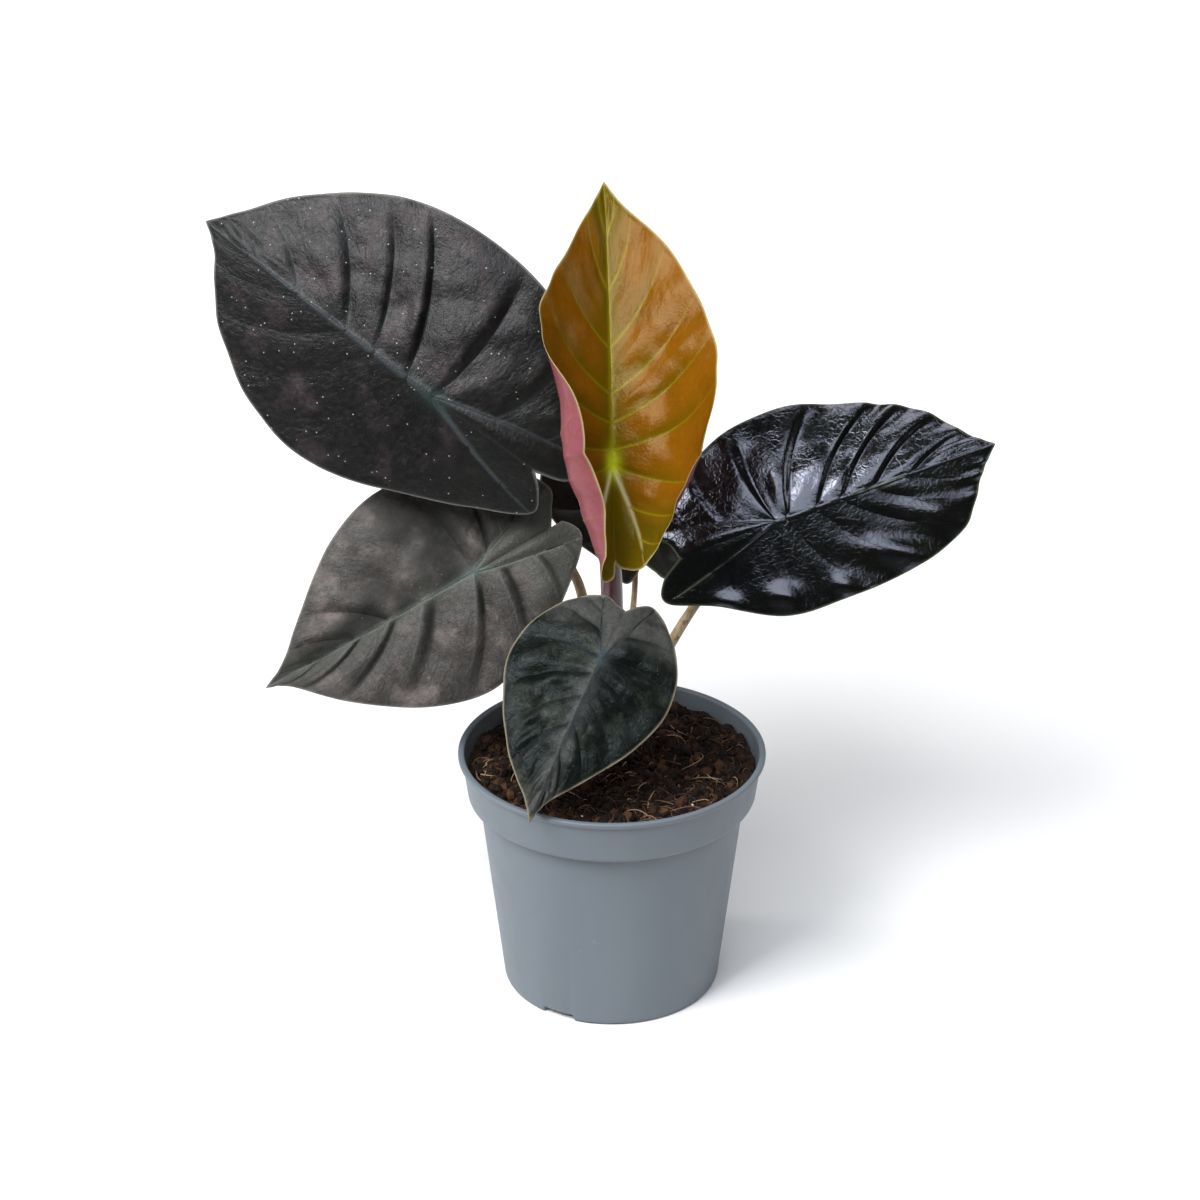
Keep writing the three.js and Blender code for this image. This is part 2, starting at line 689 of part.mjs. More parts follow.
// The body of the potting mix, a little clear of the pot all round.
function soilBody() {
  const inside = WALL + 1.3 * GAP;
  const side = [
    [HUB_RADIUS - 1, HUB_TOP + GAP],
    [HUB_RADIUS + 0.4, FLOOR_TOP + GAP],
    [bodyRadius(FLOOR_TOP) - inside, FLOOR_TOP + GAP],
    [bodyRadius(STEP_BOTTOM) - inside, STEP_BOTTOM + inside],
    [COLLAR_RADIUS - inside, COLLAR_BOTTOM + 1 + 2 * GAP],
    [COLLAR_RADIUS - inside + 1.2, SOIL_HEIGHT - 2],
  ];
  const topRadii = [54, 47, 41, 35, 28, 21, 14, 7];
  const rings = [
    ...side.map(([r, z]) => ({ r, z, lumpy: 0 })),
    ...topRadii.map((r, i) => ({ r, z: SOIL_HEIGHT, lumpy: i ? 1 : 0.5 })),
  ];
  const points = [new THREE.Vector3(0, 0, HUB_TOP + GAP)];
  for (const { r, z, lumpy } of rings)
    for (let k = 0; k < POT_SEGMENTS; k++) {
      const angle = (2 * Math.PI * k) / POT_SEGMENTS;
      const [x, y] = [r * Math.cos(angle), r * Math.sin(angle)];
      points.push(new THREE.Vector3(x, y, z + lumpy * soilLump(x, y)));
    }
  points.push(new THREE.Vector3(0, 0, SOIL_HEIGHT + soilLump(0, 0)));
  const index = [];
  const at = (ring, k) => 1 + ring * POT_SEGMENTS + (k % POT_SEGMENTS);
  const [first, last, peak] = [0, rings.length - 1, points.length - 1];
  for (let k = 0; k < POT_SEGMENTS; k++) {
    index.push(first, at(0, k + 1), at(0, k));
    for (let ring = 0; ring < last; ring++) {
      index.push(at(ring, k), at(ring, k + 1), at(ring + 1, k));
      index.push(at(ring, k + 1), at(ring + 1, k + 1), at(ring + 1, k));
    }
    index.push(at(last, k), at(last, k + 1), peak);
  }
  const geometry = new THREE.BufferGeometry().setFromPoints(points);
  geometry.setIndex(index);
  return solidOf(geometry);
}

// Peat crumbs and coir fibres, sunk into the top of the mix and clear of the stems and the pot.
function soilBits() {
  const random = randomStream(7);
  const bits = [];
  const clearOfStems = (x, y, reach) =>
    LEAVES.every(({ stem, radii }) => Math.hypot(x - stem[1][0], y - stem[1][1]) > radii[0] + reach);
  const crumbs = 28;
  while (bits.length < crumbs) {
    const angle = 2 * Math.PI * random();
    const distance = 50 * Math.sqrt(random());
    const size = mix(1.6, 3.6, random());
    const [x, y] = [distance * Math.cos(angle), distance * Math.sin(angle)];
    if (!clearOfStems(x, y, size + 1)) continue;
    const crumb = new THREE.IcosahedronGeometry(size, 0)
      .rotateX(3 * random())
      .rotateZ(6 * random())
      .scale(1, mix(0.6, 1, random()), 0.7)
      .translate(x, y, SOIL_HEIGHT + soilLump(x, y) - 0.3 * size);
    bits.push(solidOf(crumb));
  }
  const fibres = 16;
  while (bits.length < crumbs + fibres) {
    const angle = 2 * Math.PI * random();
    const distance = 44 * Math.sqrt(random());
    const length = mix(7, 17, random());
    const heading = 2 * Math.PI * random();
    const [x, y] = [distance * Math.cos(angle), distance * Math.sin(angle)];
    const reach = length / 2;
    if (Math.hypot(x, y) + reach > 51 || !clearOfStems(x, y, reach + 1)) continue;
    const route = [-1, -0.3, 0.4, 1].map((s) => {
      const [px, py] = [
        x + s * reach * Math.cos(heading) - 0.12 * length * s * s * Math.sin(heading),
        y + s * reach * Math.sin(heading) + 0.12 * length * s * s * Math.cos(heading),
      ];
      return [px, py, SOIL_HEIGHT + soilLump(px, py) + 1.3 - 2.4 * s * s];
    });
    bits.push(bar(route, [0.5, 0.8, 0.8, 0.4], 3, 4));
  }
  return bits;
}

function soil() {
  let solid = soilBody();
  for (const bit of soilBits()) solid = solid.add(bit);
  for (const leaf of LEAVES) solid = solid.subtract(stemBar(leaf, GAP));
  return solid;
}

const plant = new THREE.Group();
plant.add(meshOf("pot", pot(), 0x7d8992, 0.55));
plant.add(meshOf("potting_mix", soil(), 0x33241b, 0.95));
for (const leaf of LEAVES) {
  const sheet = leafSheet(leaf);
  plant.add(meshOf("leaf_" + leaf.name, thickened(sheet), leaf.colour, 0.35));
  plant.add(meshOf("stem_" + leaf.name, leafStem(leaf, sheet), leaf.stemColour, 0.5));
}

export default plant;
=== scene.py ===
import itertools
import math

import bmesh
import bpy
import numpy as np
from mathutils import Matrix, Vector


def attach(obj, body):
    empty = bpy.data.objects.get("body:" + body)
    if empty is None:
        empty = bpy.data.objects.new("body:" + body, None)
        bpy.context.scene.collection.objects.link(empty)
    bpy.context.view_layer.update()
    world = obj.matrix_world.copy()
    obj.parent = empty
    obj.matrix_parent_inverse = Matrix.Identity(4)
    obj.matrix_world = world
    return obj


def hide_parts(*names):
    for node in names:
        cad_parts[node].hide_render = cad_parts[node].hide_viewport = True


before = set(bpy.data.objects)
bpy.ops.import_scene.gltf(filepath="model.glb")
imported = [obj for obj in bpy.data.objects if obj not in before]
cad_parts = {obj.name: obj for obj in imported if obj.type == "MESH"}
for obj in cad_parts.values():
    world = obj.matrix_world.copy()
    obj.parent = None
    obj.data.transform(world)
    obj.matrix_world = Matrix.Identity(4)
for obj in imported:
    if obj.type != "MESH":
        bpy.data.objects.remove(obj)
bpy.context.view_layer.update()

MM = 0.001

# The pot
RIM_RADIUS = 60.0
POT_HEIGHT = 100.0
SOIL_HEIGHT = 93.5
WALL = 1.2
BODY_BASE_RADIUS = 42.9
BODY_TAPER = 0.1127
STEP_BOTTOM = 80.0
COLLAR_BOTTOM = 82.7
COLLAR_RADIUS = 56.4
COLLAR_TOP_RADIUS = RIM_RADIUS - 1.6
LIP_WIDTH = 2.5
LIP_BOTTOM = POT_HEIGHT - 2.4
FLOOR_UNDERSIDE = 3.2
FLOOR_TOP = 4.6
HUB_RADIUS = 14.0
HUB_TOP = 1.6
FOOT_INNER = 40.2
FOOT_OUTER = 41.8
DRAIN_RADIUS = 4.0
DRAIN_CIRCLE = 28.0
CORNER_ROUND = 0.9

# The foot has a deep and a shallow notch, three times around: from and to in degrees, and height
NOTCHES_START = 231
NOTCHES = [(0, 19, 3.0), (28, 57, 0.8)]

SIDES = ("left", "right")

# The leaves' mesh: rows for each space between two side veins, and columns from the midrib to the margin
ROWS_PER_SPACE = 20
COLUMNS = 48
INNER_COLUMNS = 12
BLADE = 0.5
RIM_BULGE = 0.22
MARGIN_WIDTH = 0.45
HEART_SIZE = 0.03

# Each side vein leaves the spine at its first number and meets the left and right margins at the others, as
# in the solids: the spine runs from 1 at the tip through 0 at the junction to -1 at the end of the basal
# lobe, and the margin is counted in outline points from the tip. These are the small leaves' veins.
SMALL_VEINS = [
    (0.78, 0.6, 0.6), (0.58, 1.2, 1.2), (0.4, 1.85, 1.85), (0.24, 2.55, 2.55),
    (0.1, 3.35, 3.35), (0, 4.4, 4.4), (-0.38, 5.45, 5.45), (-0.7, 6.25, 6.25),
]
LOBE_POINT = 7
NOTCH_POINT = 9
NOTCH_ON_SPINE = 2 / 3
VEIN_BOW = 0.14
SWELLING_LEAN = 25
RIB_SAMPLES = 150
VEIN_SAMPLES = 90

# The blades' own relief: soft lumps, folds along the side veins, puckers across them, and broad lumps that
# vary how far the spaces swell. The gaps interrupt the darker creases, which are partly the blade's own
# colour and partly painted shade. Each space counts as SPACE_WIDTH wide.
SPACE_WIDTH = 12
LOBE_LENGTH = 20
LUMP_SIZE = 7
FOLD_SIZE = 3
FOLD_STRETCH = 3.5
PUCKER_SIZE = 5
PUCKER_STRETCH = 0.4
BROAD_SIZE = 18
GAP_SIZE = 11

# The leaves. junction is where the stem meets the blade. heading and rise point along the midrib to the tip,
# and roll turns the blade about it. bow bends the midrib down in front of the junction and behind it, fold
# tilts the halves up from the midrib and cup curves them, each left then right; bends are in degrees for
# every 100 mm. curl rolls the new leaf's halves over. quilt is how far the halves swell between their side
# veins. valley says where their creases lie in the spaces between the veins, and drop how much of a space
# falls to its crease. wave is how far the margin rises and falls. shown is how plainly the side veins of each
# half stand out, and shade how wide the band of painted shade beside the midrib is. rib_width is the
# midrib's, cord how high the veins stand for their width, and relief how deep each half's small lumps are.
# swellings are single long humps: left 0 or right 1, along the midrib, out from it, length, width and
# height. The outlines are flat, from the tip: along the midrib and out from it. The stem's points lead from
# the pot to the junction.
USUAL_LEAF = dict(
    veins=SMALL_VEINS, valley=(0, 0), drop=(0.5, 0.5), shade=(0, 0), swellings=(), stem_slot="tan_stem",
)
LEAVES = {}
LEAVES["upper_left"] = dict(
    USUAL_LEAF, slot="satin_black_leaf",
    junction=(-66.8, 12, 242),
    heading=163.5, rise=33.7, roll=-66.4,
    bow=(14, 32), fold=(-14, -6), cup=(-7, 9),
    quilt=(0.5, 3.2), drop=(0.5, 0.2), wave=0.5,
    shown=(0.06, 0.7), rib_width=1.5, cord=0.45, relief=(0.2, 1.3),
    veins=[
        (0.8, 0.6, 0.7), (0.58, 1.2, 1.45), (0.37, 1.85, 2.3), (0.25, 2.55, 2.85),
        (0.11, 3.35, 3.3), (0, 4.4, 4.5), (-0.38, 5.45, 5.5), (-0.7, 6.25, 6.25),
    ],
    left=[
        (110, 0), (101, 7.5), (84.5, 29.5), (55, 47.5), (22.5, 51),
        (-11, 39), (-40, 25), (-57, 14.5), (-54, 6), (-47.5, 0),
    ],
    right=[
        (110, 0), (102, 10), (84, 31.5), (53.5, 52.5), (18.5, 59.5),
        (-17.5, 54.5), (-46, 34.5), (-62.5, 15), (-60, 4.5), (-47.5, 0),
    ],
    stem=[
        (-9, 13.5, 60), (-9, 13.5, 92), (-9.2, 17, 125), (-12.5, 26, 157),
        (-27, 38, 176), (-45, 41, 205), (-61, 25, 231),
    ],
    radii=(2.8, 2.8, 2.2, 1.8, 1.6, 1.6, 1.6),
)
LEAVES["centre"] = dict(
    USUAL_LEAF, slot="golden_leaf",
    junction=(-0.2, -10, 223.8),
    heading=91.1, rise=60.3, roll=9.9,
    bow=(10, -30), fold=(26, 26), cup=(63, 32),
    curl=dict(left=408, right=263, starts=58, over=64, inset=21, narrows=40),
    quilt=(0.9, 0.9), wave=0.5,
    shown=(0.7, 1.0), rib_width=1.3, cord=0.25, relief=(0.5, 0.9),
    veins=[
        (0.8, 0.6, 0.6), (0.6, 1.25, 1.2), (0.4, 2.2, 1.9), (0.24, 2.75, 2.6), (0.14, 3.3, 3.1),
        (0.05, 4.1, 3.7), (0, 4.85, 4.85), (-0.4, 5.5, 5.5), (-0.72, 6.25, 6.25),
    ],
    left=[
        (108.5, 0), (98.5, 6), (77, 20.5), (50, 39.5), (17.5, 47.5),
        (-13.5, 39.5), (-34, 24), (-45, 10.5), (-43, 1.5), (-37, 0),
    ],
    right=[
        (108.5, 0), (98, 7), (78, 24.5), (48, 39.5), (16, 48),
        (-13, 44), (-30.5, 27), (-40.5, 13), (-39.5, 3.5), (-37, 0),
    ],
    stem_slot="burgundy_stem",
    stem=[(0.5, 12, 60), (0.5, 12, 92), (0.6, 12, 130), (0, 10, 163), (-0.5, 5, 195), (-0.3, -2, 213)],
    radii=(4.2, 4.2, 4.2, 4, 3, 2.3, 2),
    sheath=dict(route=[(0.4, 12, 132), (-0.8, 10.5, 160), (-4.6, 10, 186)], radii=(3.6, 3.6, 0.8)),
)
LEAVES["right"] = dict(
    USUAL_LEAF, slot="glossy_black_leaf",
    junction=(62.1, 15, 189.8),
    heading=13.9, rise=15.2, roll=52.4,
    bow=(2, 41), fold=(-6, -15), cup=(2, 14),
    quilt=(2.4, 0.5), valley=(0.85, 0), drop=(0.8, 0.5), wave=0.9,
    shown=(0.35, 0.05), rib_width=0.9, cord=0.4, relief=(0.8, 0.1),
    swellings=[
        (1, 62, 18, 24, 9, 2.2), (1, 46, 28, 34, 9, 2.2), (1, -28.6, 22, 13, 7, 1.3),
        (1, -6.6, 28, 16, 8, 1.6), (1, 17, 32, 10, 7, 1.3),
    ],
    veins=[
        (0.78, 0.6, 0.6), (0.6, 1.2, 1), (0.43, 1.75, 1.4), (0.29, 2.3, 1.9), (0.18, 2.7, 2.8),
        (0.05, 3.6, 3.65), (0, 4.75, 4.6), (-0.45, 5.6, 5.55), (-0.75, 6.3, 6.3),
    ],
    left=[
        (91, 0), (83, 7), (67.5, 24), (42, 35.5), (15, 42.5),
        (-12, 38), (-33.5, 25), (-44.5, 12.5), (-40.5, 6), (-39, 0),
    ],
    right=[
        (91, 0), (83, 8.5), (69, 26.5), (45, 34.5), (17.5, 36.5),
        (-8.5, 35), (-33, 22), (-50.5, 14), (-48.5, 6), (-39, 0),
    ],
    stem=[
        (7.5, 17.5, 60), (7.5, 17.5, 92), (13, 18, 116), (23.5, 19, 137),
        (32.3, 20, 152.3), (45, 22, 171), (56.5, 22, 185),
    ],
    radii=(2.8, 2.8, 2.2, 2, 1.8, 1.7, 1.7),
)
LEAVES["lower_left"] = dict(
    USUAL_LEAF, slot="grey_brown_leaf",
    junction=(-53.2, 11, 170.2),
    heading=192.9, rise=-27.4, roll=-51.9,
    bow=(-12, -4), fold=(-12, -3), cup=(-9, 13),
    quilt=(3.4, 4.2), valley=(0.2, 0), drop=(0.25, 0.6), wave=0.6,
    # The shade band on this leaf's right half is the painted shadow that the upper left leaf casts on it.
    shown=(0.7, 0.15), shade=(0, 20), rib_width=1.3, cord=0.35, relief=(1.1, 1.6),
    veins=[
        (0.78, 0.6, 0.6), (0.58, 1.15, 1.2), (0.41, 1.75, 1.85), (0.25, 2.55, 2.6),
        (0, 3.5, 4.2), (-0.2, 4.6, 5), (-0.55, 5.6, 5.8), (-0.8, 6.35, 6.4),
    ],
    left=[
        (90, 0), (81.5, 4), (65, 19.5), (41, 35.5), (16.5, 42.5),
        (-9, 35.5), (-30.5, 21.5), (-43, 9), (-40, 0.5), (-34.5, 0),
    ],
    right=[
        (90, 0), (79.5, 6), (63.5, 21), (41.5, 38.5), (16, 46.5),
        (-11, 40), (-32, 27.5), (-41.5, 14.5), (-38, 6), (-34.5, 0),
    ],
    stem=[(-8, 5, 60), (-8, 5, 92), (-13, 8, 120), (-27, 16, 146), (-43, 20, 163)],
    radii=(2.8, 2.8, 2.2, 1.9, 1.7, 1.6),
)
LEAVES["front"] = dict(
    USUAL_LEAF, slot="grey_green_leaf",
    junction=(-3.9, -25, 151.9),
    heading=238.5, rise=-38.2, roll=-18.6,
    bow=(30, 68), fold=(-14, -9), cup=(-13, 0),
    quilt=(1.4, 1.4), drop=(0.35, 0.35), wave=0.4,
    shown=(0.3, 0.3), shade=(4, 0), rib_width=0.9, cord=0.3, relief=(2.4, 2.4),
    left=[
        (67.5, 0), (58, 3.5), (45, 13.5), (27.5, 25), (8.5, 31),
        (-9.5, 28), (-23, 19), (-30, 9), (-27, 3.5), (-22, 0),
    ],
    right=[
        (67.5, 0), (60, 5.5), (47.5, 17.5), (29, 28.5), (9.5, 34.5),
        (-9, 30), (-21.5, 20.5), (-26.5, 10.5), (-24, 4.5), (-22, 0),
    ],
    stem=[(-0.5, 2, 60), (-0.5, 2, 92), (-1, 0, 120), (-2.5, -12, 141)],
    radii=(2.6, 2.6, 2, 1.7, 1.5),
)
LEAVES["back"] = dict(
    USUAL_LEAF, slot="satin_black_leaf",
    junction=(8.9, 58, 180.3),
    heading=106.6, rise=56.2, roll=0,
    bow=(18, 64), fold=(-10, -10), cup=(-12, -11),
    quilt=(1.8, 1.8), wave=0.4,
    shown=(0.4, 0.4), shade=(4, 0), rib_width=0.9, cord=0.3, relief=(0.9, 0.9),
    left=[
        (72.5, 0), (64.5, 4.5), (50, 15.5), (30, 28.5), (10, 36),
        (-7.5, 30.5), (-21.5, 17), (-32.5, 8), (-30.5, 3), (-24.5, 0),
    ],
    right=[
        (72.5, 0), (65, 4.5), (50.5, 14.5), (30.5, 26), (10, 32),
        (-10, 29.5), (-25.5, 20.5), (-33, 11), (-29, 5), (-24.5, 0),
    ],
    stem=[(-1, 21.5, 60), (-1, 21.5, 92), (3, 31, 116), (8.6, 46, 139), (9.6, 62.5, 161)],
    radii=(2.6, 2.4, 1.6, 1.2, 1.2, 1.2),
)

# The blades' colours, which are linear, and their finish. tint lies in soft patches over base. The creases
# beside the veins take a darker colour, partly the blade's own and partly painted shade, which also lies as
# painted shade in the shade band beside the midrib. rib lies on the veins, costa on the ribs of the basal
# lobes, where on the new leaf it is also a painted wet glint, heart round the junction, spine beside the
# midrib and at the tip, where on the front leaf both are partly painted sheen, margin on the edge, and under
# is the lower face. mottle is how far small blotches vary the colour, and how much relief they add. gloss is
# how strong the highlight is, shine its colour, and dull how much rougher the painted creases and shade band
# are. wrinkle is the relief's depth in millimetres, grain how much of it is fine grain, and crease how much
# is thin creases on the left and on the right half. dust is how plain the specks of dust are.
DUST = (0.35, 0.34, 0.32)
USUAL_LOOK = dict(shine=(1.0, 1.0, 1.0), dull=0.0, dust=0.0)
LOOKS = {}
LOOKS["upper_left"] = dict(
    USUAL_LOOK,
    base=(0.0046, 0.0046, 0.0042), tint=(0.04, 0.028, 0.03), pigment_and_shade=(0.0025, 0.0027, 0.0024),
    rib=(0.038, 0.044, 0.048), costa=(0.035, 0.042, 0.042), heart=(0.016, 0.028, 0.024),
    spine=(0.006, 0.007, 0.0055), margin=(0.13, 0.13, 0.11), under=(0.1, 0.045, 0.055),
    mottle=(0.5, 0.8), roughness=0.37, gloss=0.26, shine=(1.0, 0.99, 1.0),
    wrinkle=0.4, grain=0.3, crease=(0.02, 0.02), dust=0.9,
)
LOOKS["centre"] = dict(
    USUAL_LOOK,
    base=(0.165, 0.06, 0.002), tint=(0.12, 0.045, 0.0015), pigment_and_shade=(0.105, 0.058, 0.001),
    # On this leaf costa is the lobe ribs' pale colour and also a painted highlight: their wet glints.
    rib=(0.2, 0.165, 0.006), costa=(0.62, 0.56, 0.36), heart=(0.46, 0.5, 0.015),
    spine=(0.08, 0.062, 0.002), margin=(0.34, 0.28, 0.12), under=(0.22, 0.066, 0.082),
    mottle=(0.1, 0.25), roughness=0.1, gloss=0.11, shine=(1.0, 0.82, 0.5),
    wrinkle=0.32, grain=0.14, crease=(0.04, 0.1),
)
LOOKS["right"] = dict(
    USUAL_LOOK,
    base=(0.003, 0.0032, 0.0022), tint=(0.005, 0.006, 0.003), pigment_and_shade=(0.002, 0.002, 0.0015),
    rib=(0.008, 0.01, 0.01), costa=(0.035, 0.038, 0.036), heart=(0.006, 0.01, 0.008),
    spine=(0.003, 0.004, 0.002), margin=(0.06, 0.07, 0.04), under=(0.07, 0.03, 0.035),
    mottle=(0.2, 0.2), roughness=0.15, gloss=0.85, shine=(0.8, 0.83, 1.0),
    wrinkle=0.4, grain=0.03, crease=(0.13, 0.09),
)
LOOKS["lower_left"] = dict(
    USUAL_LOOK,
    base=(0.04, 0.036, 0.032), tint=(0.15, 0.125, 0.117), pigment_and_shade=(0.006, 0.007, 0.005),
    rib=(0.085, 0.095, 0.085), costa=(0.12, 0.135, 0.12), heart=(0.07, 0.09, 0.08),
    spine=(0.05, 0.052, 0.042), margin=(0.13, 0.12, 0.1), under=(0.12, 0.06, 0.06),
    mottle=(0.3, 1.0), roughness=0.42, gloss=0.3, dull=0.45,
    wrinkle=0.48, grain=0.45, crease=(0.1, 0.1), dust=0.2,
)
LOOKS["front"] = dict(
    USUAL_LOOK,
    base=(0.0028, 0.0044, 0.003), tint=(0.028, 0.033, 0.024), pigment_and_shade=(0.002, 0.0024, 0.002),
    # On this leaf heart is a painted pale bluish sheen round the junction, and spine is the pale tip's own
    # colour lifted into a painted sheen beside the midrib and at the tip.
    rib=(0.016, 0.02, 0.021), costa=(0.03, 0.037, 0.04), heart=(0.03, 0.042, 0.048),
    spine=(0.062, 0.062, 0.056), margin=(0.2, 0.17, 0.12), under=(0.13, 0.08, 0.07),
    mottle=(0.5, 1.0), roughness=0.3, gloss=0.14, shine=(0.85, 0.95, 1.0), dull=0.2,
    wrinkle=0.4, grain=0.25, crease=(0.12, 0.12), dust=0.1,
)
LOOKS["back"] = dict(
    USUAL_LOOK,
    base=(0.012, 0.01, 0.007), tint=(0.02, 0.015, 0.012), pigment_and_shade=(0.005, 0.004, 0.003),
    rib=(0.03, 0.03, 0.022), costa=(0.04, 0.04, 0.03), heart=(0.03, 0.045, 0.03),
    spine=(0.012, 0.014, 0.008), margin=(0.22, 0.2, 0.13), under=(0.08, 0.04, 0.04),
    mottle=(0.3, 0.5), roughness=0.4, gloss=0.3,
    wrinkle=0.3, grain=0.2, crease=(0.05, 0.05), dust=0.1,
)


# Small helpers for numbers and noise

def smooth(t):
    t = np.clip(t, 0, 1)
    return t * t * (3 - 2 * t)


def per_millimetre(degrees_per_100):
    return math.radians(degrees_per_100) / 100


def lattice_noise(x, y, cell, seed, stretch=1.0):
    """Smooth noise from -1 to 1 on a plane, with lumps about one cell across, longer in y by the stretch."""
    size = 64
    values = np.random.default_rng(seed).uniform(-1, 1, (size, size))
    u, v = x / cell, y / (cell * stretch)
    i, j = np.floor(u).astype(int), np.floor(v).astype(int)
    f, g = smooth(u - i), smooth(v - j)
    low = values[i % size, j % size] * (1 - f) + values[(i + 1) % size, j % size] * f
    high = values[i % size, (j + 1) % size] * (1 - f) + values[(i + 1) % size, (j + 1) % size] * f
    return low * (1 - g) + high * g


def nearest(points, targets):
    """For each point its distance to the nearest target, and which one that is."""
    distance = np.empty(len(points))
    which = np.empty(len(points), int)
    step = 2000
    for start in range(0, len(points), step):
        some = points[start:start + step]
        apart = ((some[:, None, :] - targets[None, :, :]) ** 2).sum(2)
        which[start:start + step] = apart.argmin(1)
        distance[start:start + step] = np.sqrt(apart.min(1))
    return distance, which


# Mesh helpers

def mesh_object(name, points, faces, attributes=None, smooth_shading=True):
    """A mesh object from points in millimetres and faces as rows of indices or lists."""
    mesh = bpy.data.meshes.new(name)
    mesh.from_pydata((np.asarray(points) * MM).tolist(), [], [list(map(int, f)) for f in faces])
    for key, values in (attributes or {}).items():
        values = np.asarray(values, np.float32)
        vector = values.ndim == 2
        layer = mesh.attributes.new(key, "FLOAT_VECTOR" if vector else "FLOAT", "POINT")
        layer.data.foreach_set("vector" if vector else "value", values.ravel())
    mesh.update()
    if smooth_shading:
        mesh.shade_smooth()
    thing = bpy.data.objects.new(name, mesh)
    bpy.context.scene.collection.objects.link(thing)
    return thing


def dress(thing, material, slot_name, *nodes):
    """Gives a piece its material and its body, and hides the solids that it stands for; the slot name is not
    used.
    """
    thing.data.materials.append(material)
    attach(thing, "root")
    if nodes:
        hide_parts(*nodes)


def ring_quads(rings, around):
    """The quads between rings of points that lie one after another."""
    faces = []
    for i in range(rings - 1):
        for k in range(around):
            a, b = i * around + k, i * around + (k + 1) % around
            faces.append([a, b, b + around, a + around])
    return faces


def catmull_rom(points, t):
    """Points of the smooth curve through the given ones, at places t counted in points."""
    points = np.asarray(points, float)
    last = len(points) - 1
    ends = np.vstack([2 * points[0] - points[1], points, 2 * points[-1] - points[-2]])
    t = np.asarray(t, float)
    i = np.clip(np.floor(t).astype(int), 0, last - 1)
    f = (t - i)[..., None]
    a, b, c, d = ends[i], ends[i + 1], ends[i + 2], ends[i + 3]
    return 0.5 * (
        2 * b + (c - a) * f + (2 * a - 5 * b + 4 * c - d) * f ** 2 + (3 * b - a - 3 * c + d) * f ** 3
    )


def bezier(a, control, b, t):
    t = np.asarray(t)[..., None]
    return a * (1 - t) ** 2 + 2 * control * t * (1 - t) + b * t ** 2


# The leaf blades

def spine_at(outline, p):
    """The midrib from the tip to the junction, then the rib of the basal lobe."""
    p = np.asarray(p, float)
    end = np.array(outline[LOBE_POINT], float)
    rib = bezier(np.zeros(2), end * (0.5, 0.7), end, np.clip(-p, 0, 1))
    midrib = np.stack([outline[0][0] * p, np.zeros_like(p)], -1)
    return np.where((p >= 0)[..., None], midrib, rib)


def outer_points(outline, p, t, r):
    """The blade between the spine and the margin, a row for each place p, t and a column for each share r."""
    start = spine_at(outline, p)[:, None, :]
    end = catmull_rom(outline, t)[:, None, :]
    run = end - start
    control = start + run / 2 + VEIN_BOW * np.stack([-run[..., 1], run[..., 0]], -1)
    control[..., 1] = np.maximum(control[..., 1], 0)
    return bezier(start, control, end, np.broadcast_to(r, (len(p), len(r))))


def inner_points(outline, p, r):
    """The strip between a lobe's rib and the centre line, which past the notch is the lobe's inner edge."""
    start = spine_at(outline, p)
    q = -p
    notch = np.array(outline[NOTCH_POINT], float)
    past = np.clip((q - NOTCH_ON_SPINE) / (1 - NOTCH_ON_SPINE), 0, 1)
    edge = catmull_rom(outline, NOTCH_POINT + (LOBE_POINT - NOTCH_POINT) * past)
    centre = notch * (q / NOTCH_ON_SPINE)[:, None]
    end = np.where((q <= NOTCH_ON_SPINE)[:, None], centre, edge)
    return start[:, None, :] * (1 - r[:, None]) + end[:, None, :] * r[:, None]


def arc(angle, turn, length):
    """How far an arc that starts at an angle and turns evenly reaches out and up over a length."""
    k = np.where(np.abs(turn) < 1e-6, 1e-6, turn)
    reach = (np.sin(angle + k * length) - np.sin(angle)) / k
    lift = (np.cos(angle) - np.cos(angle + k * length)) / k
    return reach, lift


def bent(leaf, side, x, y):
    """Bends flat points of one half, with y counted outwards, into the leaf's own frame."""
    turn = np.where(x > 0, per_millimetre(leaf["bow"][0]), per_millimetre(leaf["bow"][1]))
    reach, drop = arc(0, turn, x)
    fold = math.radians(leaf["fold"][side])
    cup = per_millimetre(leaf["cup"][side])
    if "curl" in leaf:
        curl = leaf["curl"]
        edge = curl["inset"] * np.clip(1 + np.minimum(x, 0) / curl["narrows"], 0.02, 1)
        most = per_millimetre(curl["right"] if side else curl["left"])
        tighter = cup + most * smooth((curl["starts"] - x) / curl["over"])
        flat = np.minimum(y, edge)
        near = arc(fold, cup, flat)
        far = arc(fold + cup * flat, tighter, np.maximum(y - edge, 0))
        out, up = near[0] + far[0], near[1] + far[1]
    else:
        out, up = arc(fold, cup, y)
    slope = turn * x
    return np.stack([reach + up * np.sin(slope), -out if side else out, up * np.cos(slope) - drop], -1)


def bent_normal(leaf, side, x, y):
    """Which way the upper face points at flat points of one half."""
    step = 0.05
    here = bent(leaf, side, x, y)
    ahead = bent(leaf, side, x + step, y) - here
    outward = bent(leaf, side, x, y + step) - here
    normal = np.cross(outward, ahead) if side else np.cross(ahead, outward)
    return normal / np.linalg.norm(normal, axis=-1, keepdims=True)


